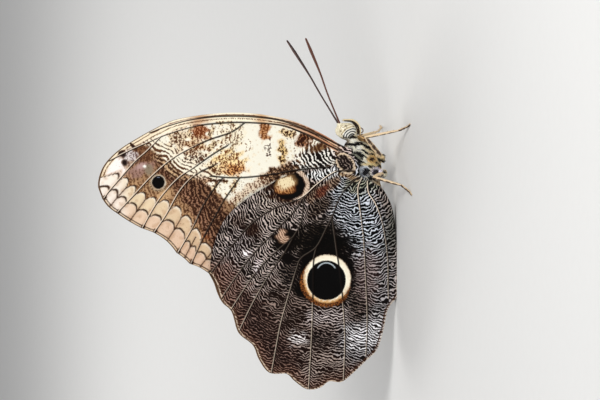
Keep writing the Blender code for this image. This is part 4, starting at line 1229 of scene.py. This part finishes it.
def body_tone(spots):
    """The fur's paints at each place on the body."""
    x, y, z = spots.T
    low = ramp(body_at(x)[0] - z, -1.0, 3.0)
    side = ramp(np.abs(y), 0.8, 2.0)
    abdomen = fade(x, 9.0, 11.0)
    tone = Paints(len(x), (150, 136, 114), (40, 28, 19), 0.0)
    tone.lay(side, (250, 244, 226), (10, 7, 5), -0.08)
    tone.lay(low * ramp(x, 11.0, 14.0), (242, 216, 170), (26, 17, 11), 0.0)
    tone.lay(low * ramp(x, 18.4, 20.4), (250, 240, 214), (9, 6, 5), -0.05)
    tone.lay(abdomen, (150, 122, 88), (70, 48, 32), 0.0)
    tone.lay(abdomen * low, (206, 186, 148), (120, 92, 62), 0.0)
    tone.lay(ramp(x, 22.8, 23.4), (244, 234, 206), (110, 88, 62), 0.6)
    for centre, half, pale, dark, balance in BODY_MARKS:
        away = np.hypot((x - centre[0]) / half[0], (z - centre[1]) / half[1])
        tone.lay(fade(away, 0.8, 1.1) * side, pale, dark, balance)
    return tone


def fur_material(name, stripe):
    """Fur with slanted stripes between its two paints."""
    g = Graph(name)
    place = g.read("place")
    grain = g.noise(place, 5.0, 3.0)
    x, _, z = g.parts(place)
    slant = g.add(g.times(x, 0.9), g.times(z, -0.45), g.times(g.noise(place, 0.7, 2.0), 2.6))
    value = g.add(g.wave(slant, stripe), g.swing(grain, 1.0), g.times(g.read("shift", "Fac"), 2.2))
    colour = g.mix(g.step(value, -0.16, 0.12), g.read("dark", "Color"), g.read("pale", "Color"))
    return g.finish(g.speckle(colour, grain, 0.6, 0.72), 0.85, grain, 0.06,
                    Sheen_Weight=0.1, Specular_IOR_Level=0.15)


def tuft_mesh(name, roots, normals, lies, lengths, widths, material):
    """Many thin bent three-sided tufts in one mesh, lying along the given directions."""
    count = len(roots)
    rng = np.random.default_rng(len(name) * 7 + count)
    across = np.cross(normals, lies)
    across /= norms(across)[:, None] + 1e-9
    rings = []
    for share, size, lift in TUFT_RINGS:
        centre = roots + lies * (lengths * share)[:, None] + normals * (lengths * lift * 0.55)[:, None]
        for k in range(3):
            turn = 2 * math.pi * k / 3 + math.pi / 2
            off = across * math.cos(turn) + normals * math.sin(turn) * 0.6
            rings.append(centre + off * (widths * size)[:, None])
    sway = lengths * rng.normal(0, 0.12, count)
    tips = roots + lies * lengths[:, None] + normals * (lengths * 0.2)[:, None] + across * sway[:, None]
    points = np.stack([*rings, tips], axis=1).reshape(-1, 3)
    pattern = np.array(TUFT_FACES)
    faces = (pattern[None] + TUFT_POINTS * np.arange(count)[:, None, None]).reshape(-1, 3)
    obj = add_mesh(name, points, faces.tolist(), material)
    root_of = np.repeat(roots, TUFT_POINTS, axis=0)
    tone = body_tone(root_of)
    lighter = np.repeat(rng.uniform(0.8, 1.3, count), TUFT_POINTS)[:, None]
    give(obj.data, place=root_of, shift=tone.balance, pale=np.clip(tone.pale * lighter, 0, 1),
         dark=np.clip(tone.dark * lighter, 0, 1))
    corner = (np.array(TUFT_MAP) * TUFT_MAP_SIZE)[pattern.ravel()]
    map_faces(obj.data, (on_map(*wrap_place(roots))[:, None] + corner[None]).reshape(-1, 2))
    return obj


def scatter(obj, count, seed):
    """Random places on a mesh with its normals there."""
    rng = np.random.default_rng(seed)
    obj.data.calc_loop_triangles()
    spots = places(obj.data)
    a, b, c = spots[np.array([t.vertices for t in obj.data.loop_triangles]).T]
    cross = np.cross(b - a, c - a)
    area = norms(cross)
    pick = rng.choice(len(area), count, p=area / area.sum())
    u, v = rng.random((2, count))
    flip = u + v > 1
    u[flip], v[flip] = 1 - u[flip], 1 - v[flip]
    roots = a[pick] + (b - a)[pick] * u[:, None] + (c - a)[pick] * v[:, None]
    return roots, cross[pick] / area[pick][:, None]


def lie_along(normals, flow):
    """The part of the flow directions that runs along the surface."""
    lies = flow - normals * (normals * flow).sum(axis=1)[:, None]
    return lies / (norms(lies)[:, None] + 1e-9)


def make_body():
    pieces = [loft(stations, BODY_SIDES) for stations in (curve(BODY, 0.8, 4), curve(HEAD, 0.4))]
    pieces.append(loft(NECK, NECK_SIDES))
    for leg, root in COXA_ROOTS.items():
        for side in SIDES:
            (start, knee, *_), radii = LEGS[leg]
            ahead = direction(start, knee)
            way = sided([root, *(tuple(np.array(start) - back * ahead) for back in (1.2, 0.4, -0.2))], side)
            pieces.append(tube(way, (*COXA_RADII, radii[0] * 0.8), COXA_SIDES))
    for side in SIDES:
        pieces.append(ball(sided([SOCKET_CENTRE], side)[0], (SOCKET_RADIUS,) * 3, 8, 12))
    skin = merge_skin("body_skin", pieces, BODY_VOXEL, 6)
    hollow_eyes(skin)
    spots = places(skin.data)
    tone = body_tone(spots)
    give(skin.data, place=spots, shift=tone.balance, pale=tone.pale, dark=tone.dark)
    round_layout(skin.data)
    fur = fur_material("body_fur", 1.55)
    skin.data.materials.append(fur)
    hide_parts("thorax", "abdomen", "head")
    add_coat(skin, fur)


def hollow_eyes(skin):
    """Presses the skin back from the eyes, so that they sit in shallow sockets."""
    for v in skin.data.vertices:
        for way in SIDES.values():
            centre = Vector((EYE_CENTRE[0], EYE_CENTRE[1] * way, EYE_CENTRE[2]))
            off = v.co / MM - centre
            out = math.hypot(off.x / (EYE_HALF[0] + EYE_GAP), off.z / (EYE_HALF[2] + EYE_GAP))
            if out < 1.0 and off.y * way > -EYE_SEAT:
                v.co.y = (centre.y - way * EYE_SEAT) * MM


def add_coat(skin, fur):
    """Short fur: long and loose on the thorax, short on the head and close on the abdomen."""
    rng = np.random.default_rng(5)
    roots, normals = scatter(skin, TUFTS, 8)
    out = np.hypot((roots[:, 0] - EYE_CENTRE[0]) / (EYE_HALF[0] + 0.1),
                   (roots[:, 2] - EYE_CENTRE[2]) / (EYE_HALF[2] + 0.1))
    clear_of_eyes = (out > 1.0) | (np.abs(roots[:, 1]) < 0.6)
    roots, normals = roots[clear_of_eyes], normals[clear_of_eyes]
    x = roots[:, 0]
    thorax = ramp(x, 9.0, 11.5) * fade(x, 21.6, 22.6)
    length = TUFT_LENGTH + THORAX_EXTRA[0] * thorax + 0.1 * rng.normal(size=len(x))
    length = np.clip(length * (1 - HEAD_SHORTER * ramp(x, 22.4, 23.4)), *LENGTH_LIMITS)
    width = TUFT_HALF_WIDTH + THORAX_EXTRA[1] * thorax
    flow = np.tile(FUR_FLOW, (len(x), 1)) + thorax[:, None] * THORAX_TURN
    flow += rng.normal(0, 0.2, (len(x), 3))
    lies = lie_along(normals, flow)
    for part, (low, high) in COATS.items():
        own = (x >= low) & (x < high)
        obj = tuft_mesh(part, roots[own], normals[own], lies[own], length[own], width[own], fur)


def eye_material():
    """Glossy facets with curved stripes round a dark spot, blotted further out and pale there with a painted
    highlight.
    """
    g = Graph("eye_glaze")
    place = g.read("place")
    x, _, z = g.parts(place)
    flat = g.new("CombineXYZ", {0: x, 1: z, 2: 0.0}).outputs[0]
    away = g.add(g.distance(flat, (23.0, 13.9)), g.times(g.noise(place, 0.6, 1.0), 0.4))
    # Further out, at the front and top, the stripes turn pale and faint: a painted highlight.
    plain = g.step(away, 2.8, 3.3)
    dark = g.mix(plain, (10, 7, 6), (186, 168, 130))
    pale = g.mix(plain, (228, 226, 216), (236, 226, 196))
    colour = g.mix(g.step(g.wave(away, 0.72), -0.35, 0.1), dark, pale)
    colour = g.mix(g.step(away, 1.15, 0.9), colour, (8, 6, 5))
    blots = g.times(g.step(g.noise(place, 1.5, 2.0), 0.56, 0.64), plain)
    colour = g.mix(g.times(blots, 0.7), colour, (84, 64, 42))
    facets = g.new("TexVoronoi", {"Vector": place, "Scale": 9.0})
    return g.finish(colour, 0.22, facets.outputs["Distance"], 0.012, Coat_Weight=0.6, Coat_Roughness=0.08)


def make_eyes():
    glaze = eye_material()
    for side in SIDES:
        points, faces = ball(sided([EYE_CENTRE], side)[0], EYE_HALF, 40, 56)
        obj = outward(add_mesh("eye_globe_" + side, points, faces, glaze))
        give(obj.data, place=points)
        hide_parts("eye_" + side)


# The antennae, proboscis, palps and legs.


def cuticle_material(name, pale, dark, stripe):
    """Smooth skin with cross bands and a dark line along it. Its place holds length and nearness to that."""
    g = Graph(name)
    along, turn, _ = g.parts(g.read("place"))
    spots = g.noise(g.read("spot"), 2.2, 3.0)
    share = g.step(g.add(g.times(g.wave(along, stripe), 0.25), g.swing(spots, 2.0), turn), -0.85, -0.15)
    return g.finish(g.mix(share, dark, pale), 0.5, spots, 0.03, Specular_IOR_Level=0.4)


def add_limb(name, way, radii, material, floor=None, dark_at=math.pi, narrow=1.0, darker=0.0):
    """A limb's fine tube that stores its length and how far each place is from its dark line."""
    points, faces = tube(way, radii, LIMB_SIDES, floor)
    obj = outward(add_mesh(name, points, faces, material))
    along = lengths_along(np.array(way, float))
    turn = 2 * math.pi * (np.arange(LIMB_SIDES) + 0.5) / LIMB_SIDES
    turn = turn if way[-1][1] < 0 else math.pi - turn
    line = np.resize(dark_at, len(along))
    off = np.minimum(narrow * (1 - np.cos(turn[None] - line[:, None])) - 1, 1.0)
    off -= np.resize(darker, len(along))[:, None]
    give(obj.data, place=[(a, t, 0.0) for a, row in zip(along, off) for t in row], spot=points)
    return obj


def make_antennae():
    material = cuticle_material("antenna_cuticle", (92, 52, 38), (30, 12, 8), ANTENNA_SEGMENT)
    start = np.array(SOCKET_CENTRE) + direction(SOCKET_CENTRE, ANTENNA_WAY[0]) * (SOCKET_RADIUS - 0.1)
    for side in SIDES:
        way = curve(sided([tuple(start), *ANTENNA_WAY], side), ANTENNA_STEP, 12)
        along = np.linspace(0, 1, len(way)) * ANTENNA_STEP * (len(way) - 1)
        segments = 0.86 + 0.12 * np.abs(np.sin(math.pi * along / ANTENNA_SEGMENT))
        radii = spread_over(ANTENNA_RADII, len(way)) * segments
        radii[-3:] *= (0.9, 0.7, 0.35)
        obj = add_limb("feeler_" + side, way, radii, material)
        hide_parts("antenna_" + side)


def make_proboscis():
    material = cuticle_material("tongue_cuticle", (110, 70, 40), (60, 34, 20), 0.3)
    count, sides = int(COIL_TURNS * 56), 10
    points = []
    for k in range(count + 1):
        angle = 2 * math.pi * COIL_TURNS * k / count
        radius = COIL_INNER + COIL_PITCH * angle / (2 * math.pi)
        own = COIL_RADIUS * (0.93 + 0.07 * math.cos(k * math.pi))
        for j in range(sides):
            turn = 2 * math.pi * j / sides
            r = radius + own * math.cos(turn)
            points.append((COIL_CENTRE[0] + r * math.cos(angle), 1.3 * own * math.sin(turn),
                           COIL_CENTRE[2] + r * math.sin(angle)))
    obj = outward(add_mesh("coiled_tongue", points, ring_faces(count + 1, sides), material))
    give(obj.data, place=points, spot=points)
    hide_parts("proboscis")


def make_furry_limbs(part):
    """A pair of limbs with fur lying along them, shaded where they face the eye."""
    joints, radii, slim, stripe, count, hair, pale, dark, balance = FURRY_LIMBS[part]
    fur = fur_material(part + "_fur", stripe)
    for side in SIDES:
        way = curve(sided(joints, side), 0.15, 8)
        points, faces = tube(way, slim * spread_over(radii, len(way)), LIMB_SIDES)
        core = outward(add_mesh(part + "_core_" + side, points, faces, fur))
        roots, normals = scatter(core, count, 3 + len(part))
        lies = lie_along(normals, np.gradient(way, axis=0)[nearest(roots, way)] * 10)
        coat = tuft_mesh(part + "_coat_" + side, roots, normals, lies, np.full(count, hair),
                         np.full(count, 0.05), fur)
        for piece in (core, coat):
            spots = places(piece.data)
            middle = way[nearest(spots, way)]
            facing = np.array(sided([EYE_CENTRE], side)) - middle
            facing /= norms(facing)[:, None]
            shaded = ramp(((spots - middle) * facing).sum(axis=1), 0.02, 0.22)
            give(piece.data, place=spots, pale=np.tile(linear(pale), (len(spots), 1)),
                 dark=np.tile(linear(dark), (len(spots), 1)), shift=balance * (1 - 2 * shaded))
        round_layout(core.data)
        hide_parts(part + "_" + side)


def nearest(spots, way):
    """The number of the way's point that is nearest to each place."""
    return np.argmin(np.linalg.norm(spots[:, None] - way[None], axis=2), axis=1)


def leg_shape(span, t):
    """How thick a leg is a share along its span: thigh, shin and two spans of a beaded foot."""
    if span >= 2:
        return 0.8 + 0.22 * abs(math.sin(math.pi * t * FOOT_BEADS[span - 2]))
    swell = THIGH_SWELL if span == 0 else 0.0
    return 0.9 * (1 + swell * math.sin(math.pi * t)) * min(1.0, 0.72 + 2.2 * min(t, 1 - t))


def make_legs():
    material = cuticle_material("leg_cuticle", (224, 198, 160), (66, 42, 28), 2.6)
    for leg, (joints, radii) in LEGS.items():
        for side in SIDES:
            spots = [np.array(p) for p in sided(joints, side)]
            way, sizes, lines, darker = [], [], [], []
            for span in range(len(spots) - 1):
                count = int(np.linalg.norm(spots[span + 1] - spots[span]) / 0.2)
                for t in [(k + 0.5) / count for k in range(count)]:
                    way.append(between(spots[span:span + 2], t))
                    sizes.append(between(radii[span:span + 2], t) * leg_shape(span, t))
                    lines.append(LEG_LINES[leg][min(span, 1)])
                    darker.append(1.1 if span >= 2 else 0.0)
            way.append(spots[-1])
            sizes.append(radii[-1] * 0.5)
            lines.append(lines[-1])
            darker.append(darker[-1])
            obj = add_limb(f"{leg}_skin_{side}", way, sizes, material, 0.0, lines, 2.4, darker)
            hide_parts(f"{leg}_{side}")
            add_spines(leg, side, spots, radii, material)


def add_spines(leg, side, spots, radii, material):
    """Short spines along the shin and foot, and two claws."""
    rng = np.random.default_rng(12)
    points, faces = [], []

    def spike(base, lean, length, width):
        lean = lean / np.linalg.norm(lean)
        across = np.cross(lean, (0.3, 0.5, 0.8))
        across /= np.linalg.norm(across)
        up = np.cross(across, lean)
        first = len(points)
        for k in range(4):
            turn = math.pi / 2 * k
            points.append(base + width * (across * math.cos(turn) + up * math.sin(turn)))
        points.append(base + lean * length)
        faces.extend([(first + k, first + (k + 1) % 4, first + 4) for k in range(4)])
        faces.append(tuple(first + k for k in (3, 2, 1, 0)))

    for span, count in SPINES:
        ends = spots[span:span + 2]
        ahead = direction(*ends)
        for k in range(count):
            t = 0.15 + 0.8 * k / count
            off = rng.normal(size=3)
            off -= ahead * off.dot(ahead)
            off /= np.linalg.norm(off)
            lean = ahead * 0.8 + off * 0.45
            base = between(ends, t) + off * between(radii[span:span + 2], t) * 0.8
            if min(base[2], (base + lean * SPINE_SIZE[0])[2]) > 0.05:
                spike(base, lean, *SPINE_SIZE)
    toe, ahead = spots[-1], direction(spots[-2], spots[-1])
    aside = np.cross(ahead, (0, 0, 1.0))
    for way in (1, -1):
        spike(toe + aside * way * 0.08 - ahead * 0.25, ahead + aside * way * 0.45, *CLAW_SIZE)
    obj = add_mesh(f"{leg}_spines_{side}", points, faces, material, smooth=False)
    give(obj.data, place=[(0.6, -1.0, 0.0)] * len(points), spot=points)


# The floor, light and camera.


def make_stage():
    """A pale floor that sweeps up far behind the model."""
    profile = [(-FLOOR_HALF, 0.0), (SWEEP_START, 0.0)]
    for k in range(1, SWEEP_STEPS + 1):
        turn = math.pi / 2 * k / SWEEP_STEPS
        profile.append((SWEEP_START + SWEEP_RADIUS * math.sin(turn), SWEEP_RADIUS * (1 - math.cos(turn))))
    profile.append((SWEEP_START + SWEEP_RADIUS, SWEEP_TOP))
    points = [(x, y, z) for y, z in profile for x in (-FLOOR_HALF, FLOOR_HALF)]
    faces = [(2 * k, 2 * k + 1, 2 * k + 3, 2 * k + 2) for k in range(len(profile) - 1)]
    floor = bpy.data.meshes.new("floor")
    floor.from_pydata([Vector(p) * MM for p in points], [], faces)
    floor.shade_smooth()
    g = Graph("floor_paper")
    grain = g.noise(g.new("TexCoord", {}).outputs["Object"], 300.0, 2.0)
    floor.materials.append(g.finish(g.mix(g.times(grain, 0.3), (222, 221, 218), (212, 211, 208)), 0.9))
    obj = bpy.data.objects.new("floor", floor)
    bpy.context.scene.collection.objects.link(obj)


def make_lights():
    world = bpy.context.scene.world or bpy.data.worlds.new("studio")
    bpy.context.scene.world = world
    world.use_nodes = True
    world.node_tree.nodes["Background"].inputs[0].default_value = SKY
    world.node_tree.nodes["Background"].inputs[1].default_value = SKY_STRENGTH
    for name, (place, size, power) in LIGHTS.items():
        lamp = bpy.data.lights.new(name, "AREA")
        lamp.size = size * MM
        lamp.energy = power
        obj = bpy.data.objects.new(name, lamp)
        obj.location = Vector(place) * MM
        obj.rotation_euler = (Vector(LIT_PLACE) - Vector(place)).to_track_quat("-Z", "Y").to_euler()
        bpy.context.scene.collection.objects.link(obj)
    bpy.context.scene.view_settings.view_transform = "Standard"


def make_camera():
    """The camera, turned so that the head points up in the picture."""
    tilt = math.radians(VIEW_TILT)
    lens = bpy.data.cameras.new("camera")
    lens.lens = LENS
    lens.sensor_width = SENSOR
    lens.clip_start = 0.01
    lens.clip_end = 20.0
    obj = bpy.data.objects.new("camera", lens)
    back = Vector((0.0, -math.cos(tilt), math.sin(tilt)))
    up = Vector((1.0, 0.0, 0.0))
    turn = Matrix((up.cross(back), up, back)).transposed()
    obj.matrix_world = Matrix.Translation((Vector(VIEW_CENTRE) + back * VIEW_DISTANCE) * MM) @ turn.to_4x4()
    bpy.context.scene.collection.objects.link(obj)
    bpy.context.scene.camera = obj


def main():
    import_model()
    make_wings()
    make_body()
    make_eyes()
    make_antennae()
    make_proboscis()
    make_furry_limbs("palp")
    make_legs()
    make_furry_limbs("foreleg")
    make_stage()
    make_lights()
    make_camera()


main()
